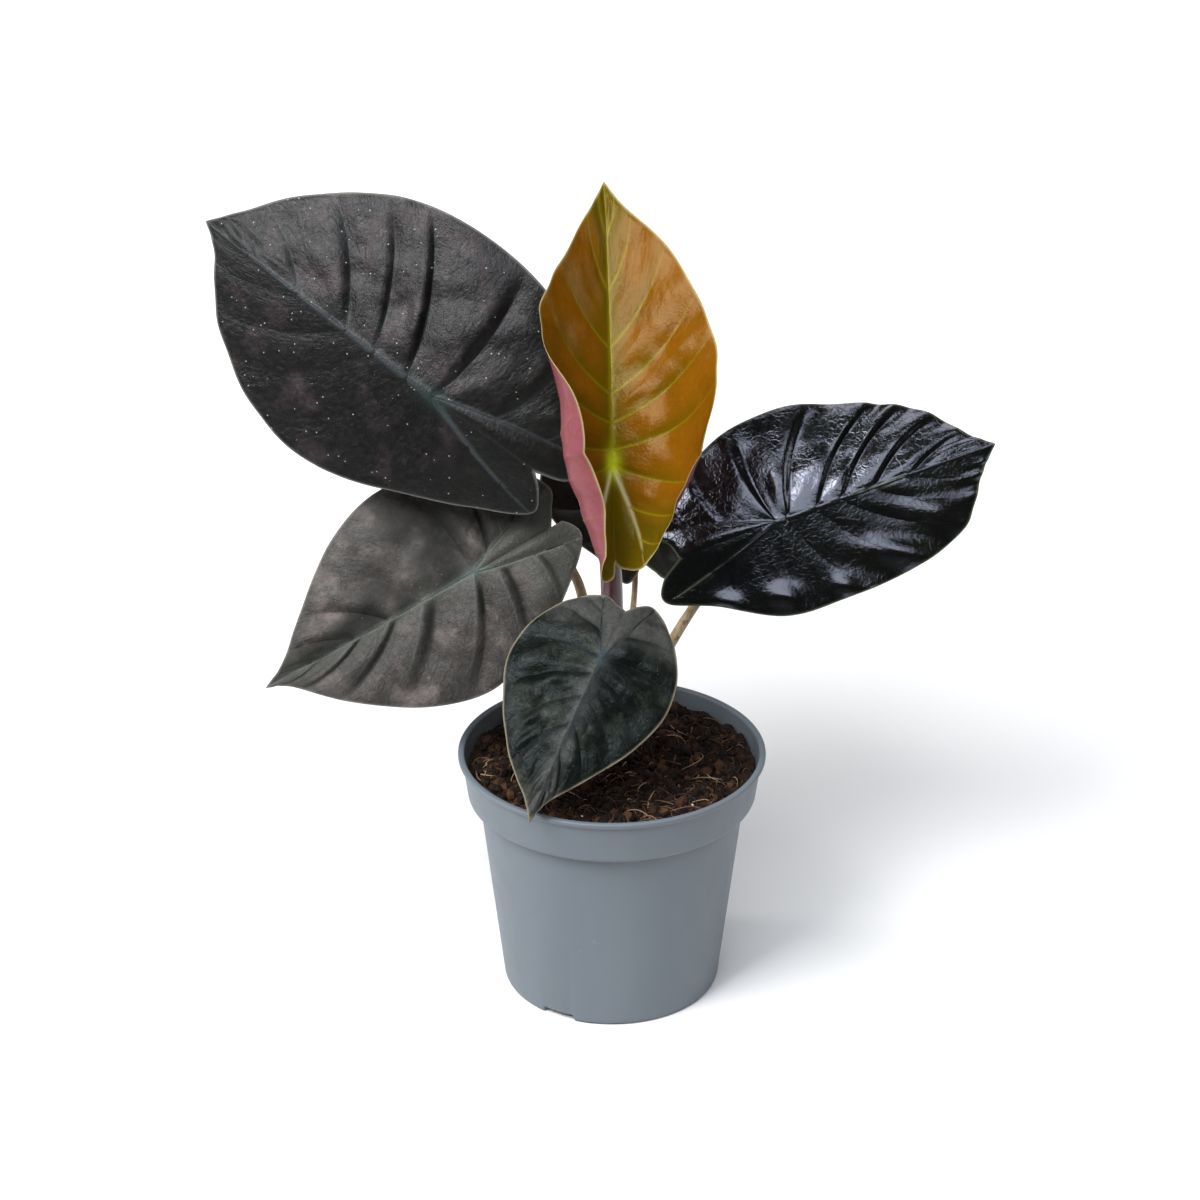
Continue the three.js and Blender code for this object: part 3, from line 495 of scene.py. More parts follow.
def leaf_axes(leaf):
    """Rows along the midrib, to its left and out of the upper face."""
    heading, rise, roll = (math.radians(leaf[k]) for k in ("heading", "rise", "roll"))
    level = np.array([math.cos(heading), math.sin(heading), 0])
    vertical = np.array([0, 0, 1])
    along = level * math.cos(rise) + vertical * math.sin(rise)
    up = vertical * math.cos(rise) - level * math.sin(rise)
    tilted = -math.sin(roll) * np.cross(up, along) + math.cos(roll) * up
    return np.array([along, np.cross(tilted, along), tilted])


def crowded(count, share):
    """Numbers from 0 to 1 that crowd towards both ends by a share."""
    even = np.linspace(0, 1, count)
    return even * (1 - share) + share * (0.5 - 0.5 * np.cos(math.pi * even))


def pillow(f, valley, drop):
    """How high the blade stands in the space between two side veins, at a share f of the way across it."""
    g = np.mod(f - valley, 1)
    rising = np.sin(math.pi / 2 * g / (1 - drop))
    falling = np.cos(math.pi / 2 * (g - 1 + drop) / drop)
    return np.where(g < 1 - drop, rising, falling)


def steep_side(f, valley, drop):
    """How deep a point lies in the crease, counted on the steeper of the crease's two sides."""
    g = np.mod(f - valley, 1)
    falling = drop <= 0.5
    steep = drop if falling else 1 - drop
    from_crease = 1 - g if falling else g
    past_crease = g if falling else 1 - g
    return np.where(from_crease < steep, smooth(1 - from_crease / steep), np.exp(-(past_crease / 0.06) ** 2))


def swellings(leaf, side, x, y):
    """The single swellings of one half: long humps that lean outwards on the way to the tip."""
    lift = np.zeros_like(x)
    lean = math.radians(SWELLING_LEAN)
    for half, ahead, out, length, width, height in leaf["swellings"]:
        if half != side:
            continue
        lengthwise = (x - ahead) * math.cos(lean) + (y - out) * math.sin(lean)
        crosswise = (y - out) * math.cos(lean) - (x - ahead) * math.sin(lean)
        lift += height * np.exp(-(2 * lengthwise / length) ** 2 - (2 * crosswise / width) ** 2)
    return lift


def veins_of(leaf):
    """The side veins, between the tip and the ends of the basal lobes."""
    return np.array([(1, 0, 0), *leaf["veins"], (-1, LOBE_POINT, LOBE_POINT)], float)


def between(values, space, f):
    """What is given at each vein, at a share f of the way across a space."""
    return values[space] * (1 - f) + values[space + 1] * f


def painted_shade_band(leaf, side, x, y):
    """How far a point lies in the band of painted shade beside the midrib, which widens towards the junction.
    """
    length = leaf["left"][0][0]
    reach = leaf["shade"][side] * (0.4 + 1.6 * smooth(1 - x / (0.6 * length)))
    return smooth(1.6 - y / reach) * smooth(1 + x / 8)


def outer_sheet(leaf, side, seed, row, space, f, size):
    """One half from the spine to the margin: its side, flat points, their lift and what is known of them."""
    veins = veins_of(leaf)
    spaces = len(veins) - 1
    valley, drop = leaf["valley"][side], leaf["drop"][side]
    r = crowded(COLUMNS, 0.7)
    outline = leaf[SIDES[side]]
    flat = outer_points(outline, between(veins[:, 0], space, f), between(veins[:, 1 + side], space, f), r)
    x, y = flat[..., 0], flat[..., 1]
    middle = np.sin(math.pi * row / spaces)
    fading = np.minimum(1, 1.3 * middle ** 1.5)
    envelope = (1 - (1 - r) ** 6) * (1 - r ** 4)
    swell = leaf["quilt"][side] * np.outer(size * fading * pillow(f, valley, drop), envelope)
    ripple = np.outer(leaf["wave"] * middle * np.sin(2 * math.pi * f + leaf["heading"]), r ** 3)
    across = np.broadcast_to(SPACE_WIDTH * row[:, None] + SPACE_WIDTH * spaces * side, swell.shape)
    along = np.linalg.norm(flat - flat[:, :1], axis=-1)
    lumps = lattice_noise(x, y, LUMP_SIZE, seed + side)
    folds = lattice_noise(across, along, FOLD_SIZE, seed + 10 + side, FOLD_STRETCH)
    puckers = lattice_noise(across, along, PUCKER_SIZE, seed + 20 + side, PUCKER_STRETCH)
    gaps = lattice_noise(x, y, GAP_SIZE, seed + 30 + side)
    broad = lattice_noise(x, y, BROAD_SIZE, seed + 40 + side)
    relief = 0.5 * lumps + 0.35 * folds + 0.2 * puckers * smooth(lumps + 0.3)
    lift = swell * (1 + 0.3 * broad) + ripple + leaf["relief"][side] * relief * envelope
    lift += swellings(leaf, side, x, y)
    # The creases beside the veins are painted darker: partly the blade's own darker colour along the veins,
    # and partly painted shade in the folds.
    beside_vein = steep_side(f, valley, drop) * np.minimum(1, 1.3 * middle)
    pigment_and_shade = np.outer(beside_vein, (1 - r ** 2) * smooth(r / 0.06)) * smooth(0.8 + gaps)
    # Where a half has a shade band, painted shade darkens it beside the midrib.
    if leaf["shade"][side]:
        painted_shade = 0.85 * painted_shade_band(leaf, side, x, y) * smooth(0.75 + 0.5 * lumps)
        pigment_and_shade = np.maximum(pigment_and_shade, painted_shade)
    return side, flat, lift, across, along, pigment_and_shade


def inner_sheet(leaf, side, p, across):
    """The strip inside one lobe's rib, with the same facts."""
    q = np.linspace(0, 1, INNER_COLUMNS)
    behind = p <= 1e-9
    flat = inner_points(leaf[SIDES[side]], p[behind], q)
    dome = 0.4 * leaf["quilt"][side] * np.outer(np.sin(-math.pi * p[behind]), np.sin(math.pi * q))
    return side, flat, dome, across[behind][:, :INNER_COLUMNS], LOBE_LENGTH * q + 0 * dome, 0 * dome


def leaf_sheet(leaf, seed):
    """The leaf's middle surface: points, what is known at each one, and quads that face up.

    The facts of a point are its flat place, how far it lies across the side veins and along them, and how
    dark it is painted: by its depth in the crease beside a vein, partly as painted shade, or in the band of
    painted shade beside the midrib.
    """
    random = np.random.default_rng(seed)
    veins = veins_of(leaf)
    spaces = len(veins) - 1
    within = crowded(ROWS_PER_SPACE + 1, 0.75)[:-1]
    row = np.append((np.arange(spaces)[:, None] + within).ravel(), spaces)
    space = np.minimum(row.astype(int), spaces - 1)
    f = row - space
    blocks = []
    for side in range(2):
        size = between(random.uniform(0.7, 1.1, spaces + 1), space, f)
        outer = outer_sheet(leaf, side, seed, row, space, f, size)
        blocks += [outer, inner_sheet(leaf, side, between(veins[:, 0], space, f), outer[3])]
    points, facts, quads = [], [], []
    total = 0
    axes = leaf_axes(leaf)
    for number, (side, flat, lift, across, along, pigment_and_shade) in enumerate(blocks):
        x, y = flat[..., 0], np.maximum(flat[..., 1], 0)
        local = bent(leaf, side, x, y) + bent_normal(leaf, side, x, y) * lift[..., None]
        rows, columns = x.shape
        index = total + np.arange(rows * columns).reshape(rows, columns)
        quad = np.stack([index[:-1, :-1], index[:-1, 1:], index[1:, 1:], index[1:, :-1]], -1).reshape(-1, 4)
        if (side == 1) != (number % 2 == 1):
            quad = quad[:, ::-1]
        quads.append(quad)
        points.append((np.array(leaf["junction"]) + local @ axes).reshape(-1, 3))
        facts.append(np.stack([x, y * (1 - 2 * side), across, along, pigment_and_shade], -1).reshape(-1, 5))
        total += rows * columns
    return merged(np.vstack(points), np.vstack(facts), np.vstack(quads))


def merged(points, facts, quads):
    """Merges the points that lie on one another, and drops the faces that have no area."""
    key = np.round(points * 500).astype(np.int64)
    _, first, inverse = np.unique(key, axis=0, return_index=True, return_inverse=True)
    inverse = inverse.reshape(-1)
    faces = []
    for quad in inverse[quads]:
        corners = [c for i, c in enumerate(quad) if c != quad[i - 1]]
        if len(corners) > 2:
            faces.append(corners)
    return points[first], facts[first], faces


def point_normals(points, faces):
    normals = np.zeros_like(points)
    for count in (3, 4):
        some = np.array([f for f in faces if len(f) == count])
        if not len(some):
            continue
        corner = points[some]
        face = np.cross(corner[:, 2] - corner[:, 0], corner[:, count - 1] - corner[:, 1])
        for k in range(count):
            np.add.at(normals, some[:, k], face)
    return normals / np.linalg.norm(normals, axis=1, keepdims=True)


def open_edges(faces):
    """The directed edges that only one face uses, which are the margin."""
    found = {}
    for face in faces:
        for i, corner in enumerate(face):
            found[(face[i - 1], corner)] = True
    return [edge for edge in found if (edge[1], edge[0]) not in found]


def rib_lines(leaf):
    """Samples of the flat leaf's ribs: places, widths, how plainly they show, and which are a lobe's rib."""
    places, widths, shown, costal = [], [], [], []
    share = np.linspace(0, 1, VEIN_SAMPLES)
    width = leaf["rib_width"]
    to_junction = np.linspace(0.3, 1, RIB_SAMPLES)
    to_lobe = np.linspace(0.75, 0.2, RIB_SAMPLES)
    for side, key in enumerate(SIDES):
        turn = np.array([1, 1 - 2 * side])
        places.append(spine_at(leaf[key], np.linspace(1, -1, 2 * RIB_SAMPLES)) * turn)
        widths.append(width * np.concatenate([to_junction, to_lobe]))
        shown.append(np.ones(2 * RIB_SAMPLES))
        costal.append(np.concatenate([np.zeros(RIB_SAMPLES), np.linspace(1, 0.1, RIB_SAMPLES)]))
        for p, left, right in leaf["veins"]:
            t = np.array([(left, right)[side]])
            places.append(outer_points(leaf[key], np.array([p]), t, share)[0] * turn)
            widths.append(width * (0.42 - 0.25 * share))
            shown.append(leaf["shown"][side] * (1 - 0.5 * share))
            costal.append(0 * share)
    return np.vstack(places), np.concatenate(widths), np.concatenate(shown), np.concatenate(costal)


def near_spine(flats, length):
    """How close a flat point lies to the midrib, to the tip or to the rear of the lobes."""
    beside = np.exp(-(np.abs(flats[:, 1]) / (0.05 * length)) ** 2)
    ahead = smooth(flats[:, 0] / (0.25 * length) - 3)
    behind = smooth(-flats[:, 0] / (0.2 * length) - 0.4)
    return np.clip(beside + ahead + behind, 0, 1)


def leaf_blade(name, leaf, seed):
    """One blade: its middle surface made thick, with raised veins, keels below and a round rim."""
    points, facts, faces = leaf_sheet(leaf, seed)
    flats = facts[:, :2]
    normals = point_normals(points, faces)
    edges = open_edges(faces)
    margin = sorted({corner for edge in edges for corner in edge})
    length = leaf["left"][0][0]
    places, widths, shown, costal = rib_lines(leaf)
    to_rib, which = nearest(flats, places)
    width = widths[which]
    near_rib = to_rib / width
    rib = np.exp(-near_rib ** 2) * shown[which]
    cord = rib - 0.55 * np.exp(-(3 * near_rib) ** 2) * (shown[which] == 1)
    to_margin, _ = nearest(flats, flats[margin])
    thick = BLADE / 2 * (0.35 + 0.65 * smooth(to_margin / 2))
    upper = points + normals * (thick + leaf["cord"] * width * cord)[:, None]
    lower = points - normals * (thick + 0.55 * width * rib)[:, None]
    rim = points[margin] + RIM_BULGE * margin_normals(points, normals, edges, margin)
    count = len(points)
    rim_index = {corner: 2 * count + i for i, corner in enumerate(margin)}
    solid = [list(f) for f in faces] + [[c + count for c in reversed(f)] for f in faces]
    for a, b in edges:
        solid.append([a, rim_index[a], rim_index[b], b])
        solid.append([rim_index[a], a + count, b + count, rim_index[b]])
    marks = {
        "flat": np.pad(flats, ((0, 0), (0, 1))),
        "weave": np.pad(facts[:, 2:4], ((0, 0), (0, 1))),
        "pigment_and_shade": facts[:, 4],
        "rib": rib,
        "costa": rib * costal[which],
        "heart": np.exp(-(np.linalg.norm(flats * (0.6, 1), axis=1) / (HEART_SIZE * length)) ** 2),
        "spine": near_spine(flats, length),
        "margin": np.exp(-(to_margin / MARGIN_WIDTH) ** 2),
    }
    attributes = {key: np.concatenate([values, values, values[margin]]) for key, values in marks.items()}
    attributes["under"] = np.concatenate([np.zeros(count), np.ones(count), np.full(len(margin), 0.5)])
    thing = mesh_object("blade_" + name, np.vstack([upper, lower, rim]), solid, attributes)
    dress(thing, leaf_material(name), leaf["slot"], "leaf_" + name)


def margin_normals(points, normals, edges, margin):
    """At each point of the margin, the direction that leads out of the blade."""
    out = np.zeros_like(points)
    for a, b in edges:
        sideways = np.cross(points[b] - points[a], normals[a])
        out[a] += sideways
        out[b] += sideways
    chosen = out[margin]
    return chosen / np.maximum(np.linalg.norm(chosen, axis=1, keepdims=True), 1e-9)


# The stems

ASKEW = (0.37, 0.91, 0.2)
STEM_SIDES = 28
STEM_STEPS = 90
SHEATH_STEPS = 40


def tube(route, radii, sides, steps, ridge=0.0):
    """A tapered tube along a smooth route: points, faces and how far along each point lies."""
    places = catmull_rom(route, np.linspace(0, len(route) - 1, steps + 1))
    radius = np.interp(np.linspace(0, 1, steps + 1), np.linspace(0, 1, len(radii)), radii)
    tangent = np.gradient(places, axis=0)
    tangent /= np.linalg.norm(tangent, axis=1, keepdims=True)
    normal = np.cross(tangent[0], ASKEW)
    angle = np.linspace(0, 2 * math.pi, sides, endpoint=False)
    rings = []
    for i in range(steps + 1):
        normal = normal - tangent[i] * normal.dot(tangent[i])
        normal /= np.linalg.norm(normal)
        binormal = np.cross(tangent[i], normal)
        reach = radius[i] * (1 + ridge * np.cos(7 * angle) + 0.5 * ridge * np.cos(12 * angle + 1))
        rings.append(
            places[i] + np.outer(reach * np.cos(angle), normal) + np.outer(reach * np.sin(angle), binormal)
        )
    faces = ring_quads(steps + 1, sides)
    faces.append(list(range(sides))[::-1])
    faces.append([steps * sides + k for k in range(sides)])
    along = np.repeat(np.linspace(0, 1, steps + 1), sides)
    return np.vstack(rings), faces, along


def leaf_stem(name, leaf):
    end = np.array(leaf["junction"]) - 1.0 * leaf_axes(leaf)[2]
    route = [*leaf["stem"], tuple(end)]
    points, faces, along = tube(route, leaf["radii"], STEM_SIDES, STEM_STEPS, ridge=0.025)
    thing = mesh_object("petiole_" + name, points, faces, {"along": along})
    material = burgundy_material() if "sheath" in leaf else tan_material()
    dress(thing, material, leaf["stem_slot"], "stem_" + name)


def stem_sheath(leaf):
    """The sheath that parts from the new leaf's stem."""
    sheath = leaf["sheath"]
    points, faces, along = tube(sheath["route"], sheath["radii"], STEM_SIDES, SHEATH_STEPS, ridge=0.02)
    thing = mesh_object("sheath", points, faces, {"along": along})
    dress(thing, burgundy_material(), leaf["stem_slot"])


# The pot

def body_radius(z):
    return BODY_BASE_RADIUS + BODY_TAPER * z


def rounded(corner_list, radius, steps=4):
    """A profile whose marked corners are rounded; each corner is (r, z, round or not)."""
    profile = []
    count = len(corner_list)
    for i, (x, z, soft) in enumerate(corner_list):
        here = np.array([x, z])
        if not soft:
            profile.append(here)
            continue
        before = np.array(corner_list[i - 1][:2]) - here
        after = np.array(corner_list[(i + 1) % count][:2]) - here
        cut = min(radius, 0.45 * np.linalg.norm(before), 0.45 * np.linalg.norm(after))
        start = here + before / np.linalg.norm(before) * cut
        end = here + after / np.linalg.norm(after) * cut
        for k in np.linspace(0, 1, steps + 1):
            profile.append(start * (1 - k) ** 2 + 2 * here * k * (1 - k) + end * k ** 2)
    return np.array(profile)


def foot_height(azimuth):
    """How far the foot ring is cut away above the floor, at azimuths in degrees."""
    turn = np.mod(azimuth - NOTCHES_START, 120)
    height = np.zeros(len(azimuth))
    for start, end, cut in NOTCHES:
        height[(turn > start) & (turn < end)] = cut
    return height


def pot():
    """The pot, turned from its profile: under the floor, up the outside, over the lip, down the inside."""
    slope = 0.7
    corners = [
        (0, 0, False),
        (HUB_RADIUS, 0, True),
        (HUB_RADIUS + slope, FLOOR_UNDERSIDE, True),
        (FOOT_INNER - slope, FLOOR_UNDERSIDE, True),
        (FOOT_INNER, 0, False),
        (FOOT_OUTER, 0, False),
        (body_radius(1.4) - 0.3, 0.7, False),
        (body_radius(1.4), 1.6, False),
        (body_radius(3.4), 3.4, False),
        (body_radius(STEP_BOTTOM), STEP_BOTTOM, True),
        (body_radius(STEP_BOTTOM) + slope, STEP_BOTTOM + slope, True),
        (COLLAR_RADIUS - slope, COLLAR_BOTTOM - 1.1, True),
        (COLLAR_RADIUS, COLLAR_BOTTOM, True),
        (COLLAR_TOP_RADIUS, LIP_BOTTOM, True),
        (RIM_RADIUS, LIP_BOTTOM + 0.6, True),
        (RIM_RADIUS, POT_HEIGHT, True),
        (RIM_RADIUS - LIP_WIDTH, POT_HEIGHT, True),
        (COLLAR_TOP_RADIUS - WALL, LIP_BOTTOM, True),
        (COLLAR_RADIUS - WALL, COLLAR_BOTTOM + 1, True),
        (body_radius(STEP_BOTTOM) - WALL, STEP_BOTTOM + WALL, True),
        (body_radius(FLOOR_TOP) - WALL, FLOOR_TOP, False),
        (HUB_RADIUS + slope, FLOOR_TOP, False),
        (HUB_RADIUS - slope, HUB_TOP, False),
        (0, HUB_TOP, False),
    ]
    profile = rounded(corners, CORNER_ROUND)
    around = 360
    angle = np.radians(np.arange(around))
    cut = foot_height(np.arange(around))
    points = []
    for r, z in profile:
        lifted = np.maximum(z, cut) if r > FOOT_INNER - 1 else np.full(around, z)
        points.append(np.stack([r * np.cos(angle), r * np.sin(angle), lifted], -1))
    thing = mesh_object("pot_shell", np.vstack(points), ring_quads(len(profile), around))
    weld(thing)
    drill(thing)
    dress(thing, pot_material(), "pot_plastic", "pot")


def weld(thing):
    """Merges the points on the axis, so that the turned surface closes."""
    data = bmesh.new()
    data.from_mesh(thing.data)
    bmesh.ops.remove_doubles(data, verts=data.verts, dist=1e-6)
    bmesh.ops.recalc_face_normals(data, faces=data.faces)
    data.to_mesh(thing.data)
    data.free()


def drill(thing):
    """Cuts the round drain holes through the pot's floor."""
    points, faces = [], []
    sides = 32
    for k in range(6):
        azimuth = math.radians(60 * k)
        centre = (DRAIN_CIRCLE * math.cos(azimuth), DRAIN_CIRCLE * math.sin(azimuth))
        ends = [(*centre, 1.0), (*centre, 2 * FLOOR_TOP)]
        ring, side_faces, _ = tube(ends, (DRAIN_RADIUS, DRAIN_RADIUS), sides, 1)
        faces += [[c + len(points) for c in f] for f in side_faces]
        points += ring.tolist()
    cutter = mesh_object("drill", points, faces, smooth_shading=False)
    cut = thing.modifiers.new("holes", "BOOLEAN")
    cut.object = cutter
    cut.operation = "DIFFERENCE"
    bpy.context.view_layer.update()
    evaluated = thing.evaluated_get(bpy.context.evaluated_depsgraph_get())
    mesh = bpy.data.meshes.new_from_object(evaluated)
    thing.modifiers.clear()
    thing.data = mesh
    bpy.data.objects.remove(cutter)


# The potting mix

SOIL_RADIUS = 55.8
CRUMBS_WITHIN = 54.5
FIBRES_WITHIN = 55


def soil_lump(x, y):
    return (
        0.9 * np.sin(0.19 * x + 1.3) * np.cos(0.17 * y - 0.4)
        + 0.6 * np.sin(0.36 * x - 0.31 * y)
        + 0.4 * np.cos(0.4 * x + 0.37 * y + 2)
    )


def soil_height(x, y):
    """The surface of the mix, with crumbly lumps of two sizes."""
    rough = 1.1 * lattice_noise(x, y, 4.2, 3) + 0.6 * lattice_noise(x, y, 1.9, 4)
    return SOIL_HEIGHT + soil_lump(x, y) + rough


def soil_surface():
    """The mix: its crumbly surface, and sides and a bottom just inside the pot's wall."""
    around, rings = 240, 90
    radius = np.linspace(0, 1, rings) * SOIL_RADIUS
    angle = np.linspace(0, 2 * math.pi, around, endpoint=False)
    r, a = np.meshgrid(radius, angle, indexing="ij")
    x, y = r * np.cos(a), r * np.sin(a)
    top = np.stack([x, y, soil_height(x, y)], -1).reshape(-1, 3)
    below = []
    inside = WALL + 0.4
    for reach, z in (
        (COLLAR_RADIUS - inside, COLLAR_BOTTOM + 1.6),
        (body_radius(STEP_BOTTOM) - inside, STEP_BOTTOM + inside),
        (body_radius(FLOOR_TOP) - inside, FLOOR_TOP + 0.3),
        (0, FLOOR_TOP + 0.3),
    ):
        below.append(np.stack([reach * np.cos(angle), reach * np.sin(angle), np.full(around, z)], -1))
    faces = [[a, d, c, b] for a, b, c, d in ring_quads(rings + len(below), around)]
    thing = mesh_object("peat", np.vstack([top, *below]), faces)
    weld(thing)
    dress(thing, soil_material(), "potting_mix", "potting_mix")


def anywhere(random, reach):
    """An evenly random place on the mix: x, y and the distance from the middle."""
    angle, distance = random.uniform(0, 2 * math.pi), reach * math.sqrt(random.uniform())
    return distance * math.cos(angle), distance * math.sin(angle), distance


def clear_of_stems(x, y, reach):
    feet = [(leaf["stem"][1], leaf["radii"][0]) for leaf in LEAVES.values()]
    return all(math.hypot(x - foot[0], y - foot[1]) > radius + reach for foot, radius in feet)


def icosahedron():
    """The twelve corners and twenty faces of a ball-like crumb."""
    golden = (1 + math.sqrt(5)) / 2
    corners = []
    for a in (-1, 1):
        for b in (-golden, golden):
            corners += [(0, a, b), (a, b, 0), (b, 0, a)]
    corners = np.array(corners) / math.hypot(1, golden)
    faces = []
    edge = 2 / math.hypot(1, golden) * 1.01
    for chosen in itertools.combinations(range(12), 3):
        trio = corners[list(chosen)]
        sides = [np.linalg.norm(trio[m] - trio[m - 1]) for m in range(3)]
        if max(sides) < edge:
            i, j, k = chosen
            outward = np.cross(trio[1] - trio[0], trio[2] - trio[0]).dot(trio.sum(0)) > 0
            faces.append([i, j, k] if outward else [i, k, j])
    return corners, faces


def scattered_crumbs(name, count, sizes, seed, material, reach):
    """Uneven lumps that lie on the mix, most of them small."""
    random = np.random.default_rng(seed)
    corners, trios = icosahedron()
    points, faces, tones = [], [], []
    while len(tones) < count * 12:
        x, y, distance = anywhere(random, reach)
        size = sizes[0] + (sizes[1] - sizes[0]) * random.uniform() ** 2.5
        stretch = random.uniform(0.6, 1.4, 3)
        turn = np.linalg.qr(random.normal(size=(3, 3)))[0]
        if np.linalg.det(turn) < 0:
            turn[0] *= -1
        lump = corners * random.uniform(0.75, 1.15, (12, 1)) * stretch * size @ turn
        z = float(soil_height(np.array(x), np.array(y)))
        if distance + size > CRUMBS_WITHIN:
            continue
        faces += [[c + len(points) * 12 for c in trio] for trio in trios]
        points.append(lump + (x, y, z + 0.25 * size))
        tones += [random.uniform()] * 12
    thing = mesh_object(name, np.vstack(points), faces, {"tone": tones}, smooth_shading=False)
    dress(thing, material, "potting_mix")


def scattered_fibres(name, count, lengths, thickness, seed, material):
    """Coir fibres that lie on the mix, curved, with both ends down in it."""
    random = np.random.default_rng(seed)
    points, faces, tones = [], [], []
    start = 0
    made = 0
    while made < count:
        x, y, _ = anywhere(random, FIBRES_WITHIN - 1)
        length = lengths[0] + (lengths[1] - lengths[0]) * random.uniform() ** 2
        heading = random.uniform(0, 2 * math.pi)
        bend = random.normal(0, 0.28) * length
        wiggle = random.normal(0, 0.05) * length
        lift = abs(random.normal(0, 0.07)) * length + 0.3
        along = np.linspace(-1, 1, 9)
        ahead = np.array([math.cos(heading), math.sin(heading)])
        aside = np.array([-ahead[1], ahead[0]])
        ground = np.outer(along * length / 2, ahead) + (x, y)
        ground += np.outer(bend * along ** 2 + wiggle * np.sin(3 * along), aside)
        if np.linalg.norm(ground, axis=1).max() > FIBRES_WITHIN or not clear_of_stems(x, y, 1):
            continue
        height = soil_height(ground[:, 0], ground[:, 1]).mean() + 0.4
        route = np.column_stack([ground, height + lift * (1 - along ** 2) - 0.9 * along ** 4])
        slim = random.uniform(*thickness)
        ring, side_faces, _ = tube(route, (0.4 * slim, slim, slim, 0.3 * slim), 4, 10)
        faces += [[c + start for c in f] for f in side_faces]
        points.append(ring)
        tones += [random.uniform()] * len(ring)
        start += len(ring)
        made += 1
    thing = mesh_object(name, np.vstack(points), faces, {"tone": tones})
    dress(thing, material, "potting_mix")


# Materials

class Nodes:
    """A material's node tree, with a short way to add nodes and join them."""

    def __init__(self, name):
        self.material = bpy.data.materials.new(name)
        self.material.use_nodes = True
        self.tree = self.material.node_tree
        self.shader = self.tree.nodes["Principled BSDF"]

    def add(self, kind, inputs=None, **settings):
        node = self.tree.nodes.new("ShaderNode" + kind)
        for key, value in settings.items():
            setattr(node, key, value)
        for key, value in (inputs or {}).items():
            self.put(node.inputs[key], value)
        return node

    def put(self, socket, value):
        if isinstance(value, bpy.types.NodeSocket):
            self.tree.links.new(value, socket)
        elif isinstance(value, tuple) and socket.type == "RGBA":
            socket.default_value = (*value, 1)
        else:
            socket.default_value = value

    def attribute(self, name, output="Fac"):
        return self.add("Attribute", attribute_name=name).outputs[output]

    def object_point(self):
        return self.add("TexCoord").outputs["Object"]

    def mix(self, factor, a, b, blend="MIX"):
        node = self.add("Mix", data_type="RGBA", blend_type=blend)
        self.put(node.inputs[0], factor)
        self.put(node.inputs[6], a)
        self.put(node.inputs[7], b)
        return node.outputs[2]

    def plus(self, a, b):
        return self.add("Math", {0: a, 1: b}, operation="ADD").outputs[0]

    def times(self, a, b):
        return self.add("Math", {0: a, 1: b}, operation="MULTIPLY").outputs[0]

    def range(self, value, low, high, to_low=0.0, to_high=1.0):
        node = self.add("MapRange", {
            "Value": value, "From Min": low, "From Max": high, "To Min": to_low, "To Max": to_high,
        })
        return node.outputs[0]

    def noise(self, vector, scale, detail=3.0, roughness=0.5, distortion=0.0):
        node = self.add("TexNoise", {
            "Vector": vector, "Scale": scale, "Detail": detail,
            "Roughness": roughness, "Distortion": distortion,
        })
        return node.outputs[0]

    def streaks(self, scale, squash):
        """Noise that is drawn out along z, the more so the smaller the squash."""
        drawn = self.add("Mapping", {"Vector": self.object_point(), "Scale": (1.0, 1.0, squash)})
        return self.noise(drawn.outputs[0], scale)

    def cracks(self, vector, scale, to_low=0.0, to_high=1.0):
        """Thin lines between cells."""
        node = self.add("TexVoronoi", {"Vector": vector, "Scale": scale}, feature="DISTANCE_TO_EDGE")
        return self.range(node.outputs["Distance"], 0.0, 0.12, to_low, to_high)

    def bump(self, height, depth):
        node = self.add("Bump", {"Height": height, "Distance": depth * MM, "Strength": 1.0})
        self.put(self.shader.inputs["Normal"], node.outputs[0])

    def finish(self, **values):
        for key, value in values.items():
            self.put(self.shader.inputs[key.replace("_", " ").title().replace("Ior", "IOR")], value)
        return self.material


def upper_colour(nodes, look, flat, patches, streaks, mottle):
    """The upper face: patches and streaks of tint, blotches, the darker creases, the ribs, and dust.

    The creases are partly the blade's own colour and partly painted shade, and the new leaf's lobe ribs also
    carry a painted wet glint.
    """
    colour = nodes.mix(nodes.range(patches, 0.5, 0.72), look["base"], look["tint"])
    colour = nodes.mix(nodes.range(streaks, 0.55, 0.8, 0, 0.3), colour, look["tint"])
    contrast = look["mottle"][0]
    spotted = nodes.range(mottle, 0.3, 0.7, 1 - contrast, 1 + contrast)
    grey = nodes.add("CombineXYZ", {0: spotted, 1: spotted, 2: spotted}).outputs[0]
    colour = nodes.mix(1.0, colour, grey, "MULTIPLY")
    spine = nodes.times(nodes.attribute("spine"), nodes.range(mottle, 0.3, 0.6, 0.5, 1))
    colour = nodes.mix(spine, colour, look["spine"])
    # Darker creases beside the veins, partly the blade's own colour and partly painted shade, and the band of
    # painted shade beside the midrib.
    colour = nodes.mix(nodes.attribute("pigment_and_shade"), colour, look["pigment_and_shade"])
    colour = nodes.mix(nodes.times(nodes.attribute("rib"), 0.85), colour, look["rib"])
    # The lobe ribs, whose colour on the new leaf is also a painted wet glint.
    colour = nodes.mix(nodes.times(nodes.attribute("costa"), 0.8), colour, look["costa"])
    colour = nodes.mix(nodes.attribute("heart"), colour, look["heart"])
    if look["dust"]:
        specks = nodes.add("TexVoronoi", {"Vector": flat, "Scale": 0.4}, feature="F1")
        chosen = nodes.range(specks.outputs["Color"], 0.6, 0.62)
        speck = nodes.range(specks.outputs["Distance"], 0.08, 0.13, look["dust"], 0)
        colour = nodes.mix(nodes.times(chosen, speck), colour, DUST)
    return colour


